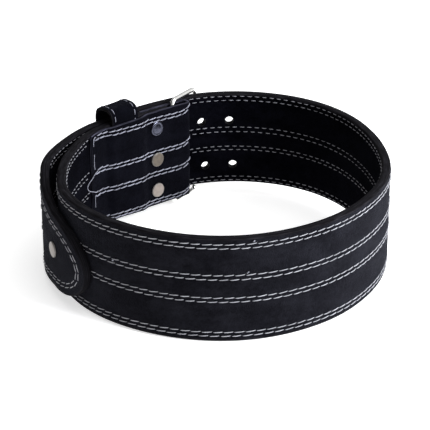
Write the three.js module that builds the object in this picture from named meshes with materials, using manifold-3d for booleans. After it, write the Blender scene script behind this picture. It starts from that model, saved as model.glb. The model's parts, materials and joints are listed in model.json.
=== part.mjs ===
import * as THREE from 'three';
import { mergeVertices } from 'three/addons/utils/BufferGeometryUtils.js';
import Module from 'manifold-3d';

// A leather weightlifting belt, fastened on its two-prong buckle and standing on its lower edge.
// Lengths are in millimetres and turns in degrees. A turn is measured round the loop's middle from
// +X towards +Y, seen from above, and the strap winds through about one and a third of them.

// Strap
const STRAP_HEIGHT = 100;
const STRAP_THICKNESS = 9;
const EDGE_RADIUS = 2.2;
const LOOP_RADIUS = 160;
const STRAP_STEP = 12;

// Turn of the strap's centre line round the loop, its distance from the loop's middle as a share of
// LOOP_RADIUS, and how many strap thicknesses of an inner lap lie under it. The first row is at the
// buckle and the last is at the tongue's tip.
const WINDING = [
  { turn: 105, reach: 1.021, laps: 0 },
  { turn: 115, reach: 0.977, laps: 0 },
  { turn: 125, reach: 0.948, laps: 0 },
  { turn: 135, reach: 0.940, laps: 0 },
  { turn: 145, reach: 0.960, laps: 0 },
  { turn: 155, reach: 0.971, laps: 0 },
  { turn: 165, reach: 0.971, laps: 0 },
  { turn: 178, reach: 0.986, laps: 0 },
  { turn: 190, reach: 1.008, laps: 0 },
  { turn: 202, reach: 1.039, laps: 0 },
  { turn: 216, reach: 1.050, laps: 0 },
  { turn: 240, reach: 1.043, laps: 0 },
  { turn: 270, reach: 1.019, laps: 0 },
  { turn: 300, reach: 0.953, laps: 0 },
  { turn: 325, reach: 0.906, laps: 0 },
  { turn: 350, reach: 0.896, laps: 0 },
  { turn: 375, reach: 0.912, laps: 0 },
  { turn: 390, reach: 0.953, laps: 0 },
  { turn: 405, reach: 1.014, laps: 0 },
  { turn: 420, reach: 1.071, laps: 0 },
  { turn: 436, reach: 1.084, laps: 0.4 },
  { turn: 452, reach: 1.067, laps: 0.75 },
  { turn: 463, reach: 1.035, laps: 1 },
  { turn: 475, reach: 0.993, laps: 1 },
  { turn: 487, reach: 0.968, laps: 1 },
  { turn: 497, reach: 0.953, laps: 1 },
  { turn: 508, reach: 0.975, laps: 1 },
  { turn: 522, reach: 0.998, laps: 1 },
  { turn: 538, reach: 1.037, laps: 1 },
  { turn: 550, reach: 1.050, laps: 1 },
  { turn: 566, reach: 1.053, laps: 1 },
  { turn: 584, reach: 1.055, laps: 1 },
];

// Tongue end: a straight taper, then a rounded nose that dips a little
const TIP_TURN = 583;
const TAPER_LENGTH = 68;
const NOSE_LENGTH = 57;
const NOSE_HALF_HEIGHT = 37.5;
const TIP_DIP = 10;
const NOSE_STEPS = 12;
const NOSE_SWEEP = 86;

// Adjustment holes, in pairs. Column 0 is the furthest from the tip. Each row's height is a share
// of STRAP_HEIGHT, and its shift is in millimetres towards the buckle.
const HOLE_DIAMETER = 9;
const HOLE_PITCH = 30;
const HOLE_FIRST_TURN = 450.8;
const HOLE_COLUMNS = 10;
const HOLE_IN_USE = 2;
const HOLE_ROWS = [
  { name: 'upper', height: 0.7, shift: 0 },
  { name: 'lower', height: 0.205, shift: 4 },
];

// Leather wrap round the buckle's bar: a short outer leg, a fold, and the flap as inner leg
const WRAP_THICKNESS = 3.7;
const FLAP_END_THICKNESS = 2.4;
const FLAP_THINNING = 16;
const WRAP_STEP = 5;
const FOLD_TURN = 108.3;
const FLAP_END_TURN = 157;
const OUTER_LEG_LENGTH = 52;
const FOLD_STEP_ANGLE = 20;
const CORE_CLEARANCE = 2;
const LEDGE_LENGTH = 1;

// Keeper loop
const KEEPER_TURN = 137.3;
const KEEPER_WIDTH = 34;
const KEEPER_THICKNESS = 3;
const KEEPER_RISE = 15;
const KEEPER_CORNER = 3;
const KEEPER_BLEND = 12;
const KEEPER_STEP = 4;
const ARCH_STEP_ANGLE = 15;

// Buckle frame and prongs. The room is from the strap's edge to the wire.
const WIRE_DIAMETER = 5;
const FRAME_LENGTH = 41.4;
const FRAME_ROOM_ABOVE = 1.3;
const FRAME_ROOM_BELOW = 6.7;
const FRAME_CORNER = 6;
const BAR_TURN = 113.1;
const PRONG_DIAMETER = 4.2;
const PRONG_LOOP_DEPTH = 2.6;
const PRONG_LOOP_WIDTH = 6;
const PRONG_LOOP_SWEEP = 290;
const PRONG_OVERHANG = 12;
const PRONG_TIP_SHARE = 0.55;
const PRONG_TIP_LENGTH = 2.6;
const PRONG_STEPS = 32;
const PRONG_SIDES = 8;
const PRONG_CURL_STEPS = 10;
const WIRE_SIDES = 12;
const FRAME_CORNER_STEPS = 4;

// Rivets
const RIVET_HEAD_DIAMETER = 15;
const RIVET_HEAD_RISE = 1.7;
const RIVET_SHANK_DIAMETER = 4;
const RIVET_BACK_DIAMETER = 10;
const RIVET_BACK_THICKNESS = 1.2;
const RIVET_TURN = 122.2;
const TIP_RIVET_FROM_TIP = 54;
const TIP_RIVET_SHARE = 0.46;
const RIVET_SIDES = 20;

// Rivets through the flap, with their heights as shares of STRAP_HEIGHT
const FLAP_RIVETS = [
  { name: 'upper', height: 0.82 },
  { name: 'middle', height: 0.48 },
  { name: 'lower', height: 0.14 },
];

// Domed side of a rivet's head: distance from its axis as a share of the head's radius, and height
// as a share of its rise
const RIVET_DOME = [
  { radius: 1, rise: 0.35 },
  { radius: 0.86, rise: 0.8 },
  { radius: 0.5, rise: 1 },
  { radius: 0, rise: 1 },
];

// Clearances between pieces that touch, and round what passes through a hole
const SEAT_GAP = 0.3;
const HOLE_GAP = 0.4;

// How far a cutter runs past the face that it opens, and the number of sides of a round one
const CUTTER_MARGIN = 1;
const HOLE_SIDES = 16;

// Points nearer to each other than this are one
const MERGE_DISTANCE = 1e-4;

// Turn of the strap's lower edge that bears on the floor, across from the buckle
const FRONT_BEARING_TURN = 264;

const HALF_THICKNESS = STRAP_THICKNESS / 2;
const RADIANS = Math.PI / 180;
const WIRE_RADIUS = WIRE_DIAMETER / 2;
const FRAME_TOP = STRAP_HEIGHT + FRAME_ROOM_ABOVE + WIRE_RADIUS;
const FRAME_BOTTOM = -FRAME_ROOM_BELOW - WIRE_RADIUS;
const TIP_RIVET_HEIGHT = TIP_RIVET_SHARE * STRAP_HEIGHT;

const wasm = await Module();
wasm.setup();

// Distance of the centre line from the loop's middle at a row of the winding table
function windingReach(row) {
  return LOOP_RADIUS * WINDING[row].reach + STRAP_THICKNESS * WINDING[row].laps;
}

// Slope of that distance at a row, from the rows on both sides of it
function windingSlope(row) {
  const before = Math.max(row - 1, 0);
  const after = Math.min(row + 1, WINDING.length - 1);
  const back = WINDING[row].turn - WINDING[before].turn;
  const ahead = WINDING[after].turn - WINDING[row].turn;
  const riseBack = back > 0 ? (windingReach(row) - windingReach(before)) / back : 0;
  const riseAhead = ahead > 0 ? (windingReach(after) - windingReach(row)) / ahead : 0;
  if (back === 0) return riseAhead;
  if (ahead === 0) return riseBack;
  return (riseBack * ahead + riseAhead * back) / (back + ahead);
}

// Distance of the centre line from the loop's middle at any turn: a cubic through the rows
function reachAt(turn) {
  let row = 0;
  while (row < WINDING.length - 2 && WINDING[row + 1].turn <= turn) row += 1;
  const span = WINDING[row + 1].turn - WINDING[row].turn;
  const t = (turn - WINDING[row].turn) / span;
  const slopeFrom = windingSlope(row) * span;
  const slopeTo = windingSlope(row + 1) * span;
  return windingReach(row) * (2 * t ** 3 - 3 * t ** 2 + 1)
    + slopeFrom * (t ** 3 - 2 * t ** 2 + t)
    + windingReach(row + 1) * (3 * t ** 2 - 2 * t ** 3)
    + slopeTo * (t ** 3 - t ** 2);
}

// Point, forward direction and outward direction of the centre line at a turn
function strapFrame(turn) {
  const angle = turn * RADIANS;
  const nudge = 0.05;
  const reach = reachAt(turn);
  const slope = (reachAt(turn + nudge) - reachAt(turn - nudge)) / (2 * nudge * RADIANS);
  const out = new THREE.Vector2(Math.cos(angle), Math.sin(angle));
  const side = new THREE.Vector2(-out.y, out.x);
  const forward = out.clone().multiplyScalar(slope).addScaledVector(side, reach).normalize();
  const outward = new THREE.Vector2(forward.y, -forward.x);
  return { point: out.clone().multiplyScalar(reach), forward, outward };
}

// Plan point at a turn, moved outward from the centre line
function planPoint(turn, offset) {
  const { point, outward } = strapFrame(turn);
  return point.clone().addScaledVector(outward, offset);
}

// The turn that lies a given length further along the centre line, or back where it is negative
function turnAlong(turn, length) {
  const fineness = 0.25;
  const step = Math.sign(length) * fineness;
  let here = turn;
  let left = Math.abs(length);
  let point = planPoint(here, 0);
  while (left > 0) {
    const next = planPoint(here + step, 0);
    const gone = next.distanceTo(point);
    if (gone >= left) return here + step * (left / gone);
    left -= gone;
    here += step;
    point = next;
  }
  return here;
}

// Turns from one to another, evenly spaced, about a given length apart
function turnsBetween(from, to, step) {
  const count = Math.max(Math.ceil((Math.abs(to - from) * RADIANS * LOOP_RADIUS) / step), 1);
  return Array.from({ length: count + 1 }, (_, i) => from + ((to - from) * i) / count);
}

// Closed mesh through a row of rings with equal point counts, capped unless it joins up
function sweep(rings, joined = false) {
  const count = rings[0].length;
  const positions = rings.flat().flatMap((point) => [point.x, point.y, point.z]);
  const faces = [];
  const spans = joined ? rings.length : rings.length - 1;
  for (let i = 0; i < spans; i += 1) {
    const near = i * count;
    const far = ((i + 1) % rings.length) * count;
    for (let j = 0; j < count; j += 1) {
      const k = (j + 1) % count;
      faces.push(near + j, near + k, far + k, near + j, far + k, far + j);
    }
  }
  if (!joined) {
    const last = (rings.length - 1) * count;
    for (let j = 1; j < count - 1; j += 1) {
      faces.push(0, j + 1, j, last, last + j, last + j + 1);
    }
  }
  const geometry = new THREE.BufferGeometry();
  geometry.setAttribute('position', new THREE.Float32BufferAttribute(positions, 3));
  geometry.setIndex(enclosedVolume(positions, faces) < 0 ? flipped(faces) : faces);
  return geometry;
}

// Volume inside a mesh, negative where its faces point inwards
function enclosedVolume(positions, faces) {
  const corner = (index) => new THREE.Vector3().fromArray(positions, index * 3);
  let volume = 0;
  for (let i = 0; i < faces.length; i += 3) {
    const across = corner(faces[i + 1]).cross(corner(faces[i + 2]));
    volume += corner(faces[i]).dot(across) / 6;
  }
  return volume;
}

// The same faces, turned over
function flipped(faces) {
  const turned = [];
  for (let i = 0; i < faces.length; i += 3) turned.push(faces[i], faces[i + 2], faces[i + 1]);
  return turned;
}

// A three.js geometry as a solid that can be cut
function solidFrom(geometry) {
  const bare = geometry.clone();
  bare.deleteAttribute('normal');
  bare.deleteAttribute('uv');
  const merged = mergeVertices(bare, MERGE_DISTANCE);
  return new wasm.Manifold(new wasm.Mesh({
    numProp: 3,
    vertProperties: new Float32Array(merged.attributes.position.array),
    triVerts: new Uint32Array(merged.index.array),
  }));
}

// A cut solid as a three.js geometry again
function geometryFrom(solid) {
  const mesh = solid.getMesh();
  const geometry = new THREE.BufferGeometry();
  geometry.setAttribute('position', new THREE.BufferAttribute(mesh.vertProperties, 3));
  geometry.setIndex(new THREE.BufferAttribute(mesh.triVerts, 1));
  return geometry;
}

// A geometry with others taken out of it
function cutBy(geometry, cutters) {
  let solid = solidFrom(geometry);
  cutters.forEach((cutter) => {
    solid = solid.subtract(solidFrom(cutter));
  });
  return geometryFrom(solid);
}

// Ring of an upright band in plan: two sides, a low and a high edge, and rounded corners
function bandRing(origin, outward, inner, outer, low, high, radius) {
  const flat = 0.2;
  const bend = Math.min(radius, (outer - inner) / 2 - flat, (high - low) / 2 - flat);
  const near = bend * (1 - Math.SQRT1_2);
  const corners = [
    [outer - bend, low], [outer - near, low + near], [outer, low + bend],
    [outer, high - bend], [outer - near, high - near], [outer - bend, high],
    [inner + bend, high], [inner + near, high - near], [inner, high - bend],
    [inner, low + bend], [inner + near, low + near], [inner + bend, low],
  ];
  return corners.map(([offset, height]) => {
    const place = origin.clone().addScaledVector(outward, offset);
    return new THREE.Vector3(place.x, place.y, height);
  });
}

// Low and high edge of the strap at a length short of the tongue's tip
function edgesNearTip(fromTip) {
  const tipLength = TAPER_LENGTH + NOSE_LENGTH;
  if (fromTip >= tipLength) return { low: 0, high: STRAP_HEIGHT };
  const half = STRAP_HEIGHT / 2;
  const middle = half - TIP_DIP * (1 - fromTip / tipLength);
  const inNose = (NOSE_LENGTH - fromTip) / NOSE_LENGTH;
  const rise = inNose > 0
    ? NOSE_HALF_HEIGHT * Math.sqrt(1 - inNose ** 2)
    : NOSE_HALF_HEIGHT + ((half - NOSE_HALF_HEIGHT) * (fromTip - NOSE_LENGTH)) / TAPER_LENGTH;
  return { low: middle - rise, high: middle + rise };
}

// The wire of the buckle's inner bar lies in the pocket between the wrap's two legs
const pocketInner = -(HALF_THICKNESS + SEAT_GAP);
const pocketOuter = HALF_THICKNESS - WRAP_THICKNESS;
const pocketMiddle = (pocketInner + pocketOuter) / 2;
const barPoint = planPoint(BAR_TURN, pocketMiddle);
const loopRadius = WIRE_RADIUS + SEAT_GAP + PRONG_LOOP_DEPTH / 2;
const outerLegEndTurn = turnAlong(FOLD_TURN, OUTER_LEG_LENGTH);
const coreTurn = turnAlong(BAR_TURN, loopRadius + PRONG_LOOP_DEPTH / 2 + CORE_CLEARANCE);
const rivetBore = RIVET_SHANK_DIAMETER + 2 * SEAT_GAP;
const keeperFrom = turnAlong(KEEPER_TURN, -KEEPER_WIDTH / 2);
const keeperTo = turnAlong(KEEPER_TURN, KEEPER_WIDTH / 2);

// Turn where the buckle's far bar lies on the tongue, one frame length from the inner bar
function farBarTurn() {
  const furthest = 30;
  const halvings = 40;
  let low = BAR_TURN - furthest;
  let high = BAR_TURN;
  for (let i = 0; i < halvings; i += 1) {
    const middle = (low + high) / 2;
    const reach = planPoint(middle + 360, HALF_THICKNESS + SEAT_GAP + WIRE_RADIUS);
    if (reach.distanceTo(barPoint) > FRAME_LENGTH) low = middle;
    else high = middle;
  }
  return (low + high) / 2;
}

const farTurn = farBarTurn();
const farPoint = planPoint(farTurn + 360, HALF_THICKNESS + SEAT_GAP + WIRE_RADIUS);

// Turn of one adjustment hole
function holeTurn(column, row) {
  return turnAlong(HOLE_FIRST_TURN, column * HOLE_PITCH - row.shift);
}

// A cylinder or lathe whose own Y axis is laid along the strap's outward direction
function layOutward(geometry, turn, offset, height) {
  const { point, outward } = strapFrame(turn);
  const place = point.clone().addScaledVector(outward, offset);
  const direction = new THREE.Vector3(outward.x, outward.y, 0);
  geometry.applyQuaternion(
    new THREE.Quaternion().setFromUnitVectors(new THREE.Vector3(0, 1, 0), direction),
  );
  geometry.translate(place.x, place.y, height);
  return geometry;
}

// Cutter for a round hole, square to the strap
function roundHole(turn, height, diameter, inner, outer) {
  const radius = diameter / 2;
  const drill = new THREE.CylinderGeometry(radius, radius, outer - inner, HOLE_SIDES);
  return layOutward(drill, turn, (inner + outer) / 2, height);
}

// Prong: it curls round the inner bar, passes out through its hole in the tongue and lies over
// the far bar. The same rings, grown, cut its way through the leather.
function prongGeometry(row, grow) {
  const height = row.height * STRAP_HEIGHT;
  const hole = planPoint(holeTurn(HOLE_IN_USE, row), 0);
  const away = hole.clone().sub(barPoint).normalize();
  const side = new THREE.Vector2(-away.y, away.x);
  const curl = [];
  for (let i = PRONG_CURL_STEPS; i >= 0; i -= 1) {
    const angle = (i / PRONG_CURL_STEPS) * PRONG_LOOP_SWEEP * RADIANS;
    curl.push(barPoint.clone()
      .addScaledVector(side, loopRadius * Math.cos(angle))
      .addScaledVector(away, -loopRadius * Math.sin(angle)));
  }
  const { outward } = strapFrame(farTurn + 360);
  const overBar = farPoint.clone()
    .addScaledVector(outward, WIRE_RADIUS + SEAT_GAP + PRONG_DIAMETER / 2);
  const tipTurn = turnAlong(farTurn + 360, -PRONG_OVERHANG);
  const tip = planPoint(tipTurn, HALF_THICKNESS + WIRE_DIAMETER + PRONG_DIAMETER / 2);
  const pinPoints = [hole, overBar, tip];
  const path = new THREE.CatmullRomCurve3(
    [...curl, ...pinPoints].map((point) => new THREE.Vector3(point.x, point.y, height)),
    false,
    'centripetal',
  );
  const length = path.getLength();
  const curlLength = loopRadius * PRONG_LOOP_SWEEP * RADIANS;
  const up = new THREE.Vector3(0, 0, 1);
  const rings = [];
  for (let i = 0; i <= PRONG_STEPS; i += 1) {
    const share = i / PRONG_STEPS;
    const gone = share * length;
    const left = length - gone;
    const centre = path.getPointAt(share);
    const across = path.getTangentAt(share).cross(up).normalize();
    const onPin = THREE.MathUtils.smoothstep(gone, curlLength, curlLength + PRONG_LOOP_WIDTH);
    const rounding = THREE.MathUtils.lerp(PRONG_TIP_SHARE, 1, Math.min(left / PRONG_TIP_LENGTH, 1));
    const depth = THREE.MathUtils.lerp(PRONG_LOOP_DEPTH, PRONG_DIAMETER, onPin) * rounding;
    const width = THREE.MathUtils.lerp(PRONG_LOOP_WIDTH, PRONG_DIAMETER, onPin) * rounding;
    rings.push(Array.from({ length: PRONG_SIDES }, (_, j) => {
      const angle = (j / PRONG_SIDES) * 2 * Math.PI;
      return centre.clone()
        .addScaledVector(across, Math.cos(angle) * (depth / 2 + grow))
        .addScaledVector(up, Math.sin(angle) * (width / 2 + grow));
    }));
  }
  return sweep(rings);
}

// Strap: a thin core between the wrap's legs, then the full leather all the way to the tip
function strapGeometry() {
  const noseTurn = turnAlong(TIP_TURN, -NOSE_LENGTH);
  const turns = [
    ...turnsBetween(coreTurn, outerLegEndTurn, STRAP_STEP),
    ...turnsBetween(turnAlong(outerLegEndTurn, LEDGE_LENGTH), noseTurn, STRAP_STEP),
  ];
  for (let i = 1; i <= NOSE_STEPS; i += 1) {
    const share = Math.sin((i / NOSE_STEPS) * NOSE_SWEEP * RADIANS);
    turns.push(turnAlong(noseTurn, NOSE_LENGTH * share));
  }
  const taperTurns = TIP_TURN - turnAlong(TIP_TURN, -NOSE_LENGTH - TAPER_LENGTH);
  const rings = turns.map((turn) => {
    const { point, outward } = strapFrame(turn);
    const share = Math.min((TIP_TURN - turn) / taperTurns, 1);
    const { low, high } = edgesNearTip(share * (NOSE_LENGTH + TAPER_LENGTH));
    const beyondLeg = turn > (outerLegEndTurn + turnAlong(outerLegEndTurn, LEDGE_LENGTH)) / 2;
    const outer = beyondLeg ? HALF_THICKNESS : pocketOuter - SEAT_GAP;
    return bandRing(point, outward, -HALF_THICKNESS, outer, low, high, EDGE_RADIUS);
  });
  const edge = HALF_THICKNESS + CUTTER_MARGIN;
  const cutters = HOLE_ROWS.map((row) => prongGeometry(row, HOLE_GAP));
  for (let column = 0; column < HOLE_COLUMNS; column += 1) {
    HOLE_ROWS.forEach((row) => {
      const height = row.height * STRAP_HEIGHT;
      cutters.push(roundHole(holeTurn(column, row), height, HOLE_DIAMETER, -edge, edge));
    });
  }
  FLAP_RIVETS.forEach((rivet) => {
    cutters.push(roundHole(RIVET_TURN, rivet.height * STRAP_HEIGHT, rivetBore, -edge, edge));
  });
  const recess = RIVET_BACK_THICKNESS + 2 * SEAT_GAP - HALF_THICKNESS;
  const recessDiameter = RIVET_BACK_DIAMETER + 2 * SEAT_GAP;
  cutters.push(roundHole(tipRivetTurn(), TIP_RIVET_HEIGHT, rivetBore, -edge, edge));
  cutters.push(roundHole(tipRivetTurn(), TIP_RIVET_HEIGHT, recessDiameter, -edge, recess));
  return cutBy(sweep(rings), cutters);
}

// How far the flap stands off the strap to pass over the keeper's inner leg
function keeperBump(turn) {
  const from = turnAlong(keeperFrom, -SEAT_GAP);
  const to = turnAlong(keeperTo, SEAT_GAP);
  const rise = THREE.MathUtils.smoothstep(turn, turnAlong(from, -KEEPER_BLEND), from);
  const fall = THREE.MathUtils.smoothstep(turn, to, turnAlong(to, KEEPER_BLEND));
  return (KEEPER_THICKNESS + SEAT_GAP) * (rise - fall);
}

// Wrap: the leather that runs from the strap's end round the bar and back as the flap
function wrapGeometry() {
  const half = WRAP_THICKNESS / 2;
  const outerLeg = turnsBetween(turnAlong(outerLegEndTurn, -SEAT_GAP), FOLD_TURN, WRAP_STEP)
    .map((turn) => planPoint(turn, pocketOuter + half));
  const fold = strapFrame(FOLD_TURN);
  const foldRadius = (pocketOuter - pocketInner) / 2 + half;
  const foldCentre = planPoint(FOLD_TURN, pocketMiddle);
  const bend = [];
  for (let angle = FOLD_STEP_ANGLE; angle < 180; angle += FOLD_STEP_ANGLE) {
    bend.push(foldCentre.clone()
      .addScaledVector(fold.outward, foldRadius * Math.cos(angle * RADIANS))
      .addScaledVector(fold.forward, -foldRadius * Math.sin(angle * RADIANS)));
  }
  const innerLeg = turnsBetween(FOLD_TURN, FLAP_END_TURN, WRAP_STEP)
    .map((turn) => planPoint(turn, pocketInner - half - keeperBump(turn)));
  const line = [...outerLeg, ...bend, ...innerLeg];
  let toEnd = 0;
  const thicknesses = line.map(() => WRAP_THICKNESS);
  for (let i = line.length - 1; i > 0; i -= 1) {
    thicknesses[i] = THREE.MathUtils.lerp(
      FLAP_END_THICKNESS, WRAP_THICKNESS, Math.min(toEnd / FLAP_THINNING, 1),
    );
    toEnd += line[i].distanceTo(line[i - 1]);
  }
  const rings = line.map((point, i) => {
    const before = line[Math.max(i - 1, 0)];
    const after = line[Math.min(i + 1, line.length - 1)];
    const along = after.clone().sub(before).normalize();
    const outward = new THREE.Vector2(-along.y, along.x);
    const thin = thicknesses[i];
    return bandRing(point, outward, -half, thin - half, 0, STRAP_HEIGHT, EDGE_RADIUS / 2);
  });
  const outerEnd = HALF_THICKNESS + CUTTER_MARGIN;
  const innerEnd = pocketInner - WRAP_THICKNESS - CUTTER_MARGIN;
  const cutters = HOLE_ROWS.map((row) => prongGeometry(row, HOLE_GAP));
  FLAP_RIVETS.forEach((rivet) => {
    const height = rivet.height * STRAP_HEIGHT;
    cutters.push(roundHole(RIVET_TURN, height, rivetBore, innerEnd, outerEnd));
  });
  return cutBy(sweep(rings), cutters);
}

// Outline of the keeper's loop in the upright plane across the strap: straight legs and an arch
function keeperOutline(inner, outer, grow) {
  const middle = (inner + outer) / 2;
  const half = (outer - inner) / 2 + grow;
  const low = -SEAT_GAP - grow;
  const corner = (KEEPER_CORNER + grow) / 2;
  const near = corner * (1 - Math.SQRT1_2);
  const outline = [
    [middle - half, low + corner], [middle - half + near, low + near],
    [middle - half + corner, low], [middle + half - corner, low],
    [middle + half - near, low + near], [middle + half, low + corner],
  ];
  for (let angle = 0; angle <= 180; angle += ARCH_STEP_ANGLE) {
    outline.push([
      middle + half * Math.cos(angle * RADIANS),
      STRAP_HEIGHT + (KEEPER_RISE + grow) * Math.sin(angle * RADIANS),
    ]);
  }
  return outline;
}

// Keeper: a flat leather loop round the strap and the tongue, with a slack arch above them
function keeperGeometry() {
  const tube = (from, to, grow) => sweep(turnsBetween(from, to, KEEPER_STEP).map((turn) => {
    const { point, outward } = strapFrame(turn);
    const inner = -(HALF_THICKNESS + SEAT_GAP);
    const tongue = planPoint(turn + 360, HALF_THICKNESS + SEAT_GAP);
    const outer = tongue.sub(point).dot(outward);
    return keeperOutline(inner, outer, grow).map(([offset, height]) => {
      const place = point.clone().addScaledVector(outward, offset);
      return new THREE.Vector3(place.x, place.y, height);
    });
  }));
  const hollowFrom = turnAlong(keeperFrom, -CUTTER_MARGIN);
  const hollowTo = turnAlong(keeperTo, CUTTER_MARGIN);
  return cutBy(tube(keeperFrom, keeperTo, KEEPER_THICKNESS), [tube(hollowFrom, hollowTo, 0)]);
}

// Buckle frame: round wire bent to an upright rectangle round the tongue
function frameGeometry() {
  const along = farPoint.clone().sub(barPoint).normalize();
  const flat = new THREE.Vector3(along.x, along.y, 0);
  const up = new THREE.Vector3(0, 0, 1);
  const face = new THREE.Vector3(along.y, -along.x, 0);
  const origin = new THREE.Vector3(barPoint.x, barPoint.y, 0);
  const bends = [
    { x: FRAME_LENGTH - FRAME_CORNER, z: FRAME_TOP - FRAME_CORNER, start: 0 },
    { x: FRAME_CORNER, z: FRAME_TOP - FRAME_CORNER, start: 90 },
    { x: FRAME_CORNER, z: FRAME_BOTTOM + FRAME_CORNER, start: 180 },
    { x: FRAME_LENGTH - FRAME_CORNER, z: FRAME_BOTTOM + FRAME_CORNER, start: 270 },
  ];
  const rings = [];
  bends.forEach((bend) => {
    for (let step = 0; step <= FRAME_CORNER_STEPS; step += 1) {
      const angle = (bend.start + (step / FRAME_CORNER_STEPS) * 90) * RADIANS;
      const out = flat.clone().multiplyScalar(Math.cos(angle)).addScaledVector(up, Math.sin(angle));
      const centre = origin.clone()
        .addScaledVector(flat, bend.x)
        .addScaledVector(up, bend.z)
        .addScaledVector(out, FRAME_CORNER);
      rings.push(Array.from({ length: WIRE_SIDES }, (_, j) => {
        const around = (j / WIRE_SIDES) * 2 * Math.PI;
        return centre.clone()
          .addScaledVector(out, WIRE_RADIUS * Math.cos(around))
          .addScaledVector(face, WIRE_RADIUS * Math.sin(around));
      }));
    }
  });
  return sweep(rings, true);
}

// Turn of the rivet in the tongue's end
function tipRivetTurn() {
  return turnAlong(TIP_TURN, -TIP_RIVET_FROM_TIP);
}

// Rivet: a low domed head, a shank, and a flat back. The head's seat is at zero and the head
// points along +Y.
function rivetGeometry(shankLength) {
  const headRadius = RIVET_HEAD_DIAMETER / 2;
  const shankRadius = RIVET_SHANK_DIAMETER / 2;
  const backRadius = RIVET_BACK_DIAMETER / 2;
  const profile = [
    new THREE.Vector2(0, -shankLength - RIVET_BACK_THICKNESS),
    new THREE.Vector2(backRadius, -shankLength - RIVET_BACK_THICKNESS),
    new THREE.Vector2(backRadius, -shankLength),
    new THREE.Vector2(shankRadius, -shankLength),
    new THREE.Vector2(shankRadius, 0),
    new THREE.Vector2(headRadius, 0),
    ...RIVET_DOME.map(({ radius, rise }) => (
      new THREE.Vector2(headRadius * radius, RIVET_HEAD_RISE * rise)
    )),
  ];
  return new THREE.LatheGeometry(profile, RIVET_SIDES);
}

// Flap rivet: the head is inside the loop and the back lies between the strap and the tongue
function flapRivetGeometry(share) {
  const seat = WRAP_THICKNESS + SEAT_GAP - pocketInner;
  const back = HALF_THICKNESS + SEAT_GAP;
  const rivet = rivetGeometry(seat + back);
  rivet.rotateX(Math.PI);
  return layOutward(rivet, RIVET_TURN, -seat, share * STRAP_HEIGHT);
}

// Tip rivet: the head is outside and the back is sunk into the tongue's inner face
function tipRivetGeometry() {
  const seat = HALF_THICKNESS + SEAT_GAP;
  const shank = STRAP_THICKNESS - RIVET_BACK_THICKNESS;
  return layOutward(rivetGeometry(shank), tipRivetTurn(), seat, TIP_RIVET_HEIGHT);
}

// Named mesh in one material. A lathe's open seam is merged so that the mesh is one closed body.
function piece(name, geometry, material) {
  const bare = geometry.clone();
  bare.deleteAttribute('uv');
  bare.deleteAttribute('normal');
  const merged = mergeVertices(bare, MERGE_DISTANCE);
  merged.computeVertexNormals();
  const mesh = new THREE.Mesh(merged, material);
  mesh.name = name;
  return mesh;
}

const suede = () => new THREE.MeshStandardMaterial({ color: 0x16151b, roughness: 0.95 });
const steel = () => new THREE.MeshStandardMaterial({
  color: 0xd8d8d6, roughness: 0.22, metalness: 1,
});
const cream = () => new THREE.MeshStandardMaterial({ color: 0xcfc6b8, roughness: 0.4 });

const belt = new THREE.Group();
belt.add(piece('belt_strap', strapGeometry(), suede()));
belt.add(piece('buckle_wrap', wrapGeometry(), suede()));
belt.add(piece('keeper', keeperGeometry(), suede()));
belt.add(piece('buckle_frame', frameGeometry(), steel()));
HOLE_ROWS.forEach((row) => {
  belt.add(piece(`prong_${row.name}`, prongGeometry(row, 0), steel()));
});
FLAP_RIVETS.forEach(({ name, height }) => {
  const finish = name === 'upper' ? steel() : cream();
  belt.add(piece(`flap_rivet_${name}`, flapRivetGeometry(height), finish));
});
belt.add(piece('tip_rivet', tipRivetGeometry(), cream()));

// The belt rests on its buckle's lowest wire and on the strap's lower edge across from it: the
// plane through both becomes level.
function levelOnBearings(group) {
  const { point, forward, outward } = strapFrame(FRONT_BEARING_TURN);
  const edge = point.clone().addScaledVector(outward, HALF_THICKNESS - EDGE_RADIUS);
  const along = farPoint.clone().sub(barPoint).normalize();
  const corner = barPoint.clone().addScaledVector(along, FRAME_CORNER);
  const lowest = FRAME_BOTTOM - WIRE_RADIUS;
  const bearing = new THREE.Vector3(corner.x - edge.x, corner.y - edge.y, lowest);
  const normal = new THREE.Vector3(forward.x, forward.y, 0).cross(bearing).normalize();
  if (normal.z < 0) normal.negate();
  group.quaternion.setFromUnitVectors(normal, new THREE.Vector3(0, 0, 1));
}

const object = new THREE.Group();
object.add(belt);
levelOnBearings(belt);
object.updateMatrixWorld(true);
const box = new THREE.Box3().setFromObject(object, true);
const middle = box.getCenter(new THREE.Vector3());
belt.position.set(-middle.x, -middle.y, -box.min.z);
object.updateMatrixWorld(true);

export default object;
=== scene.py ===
import json

import bpy
import numpy as np
from mathutils import Matrix, Vector


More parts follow.
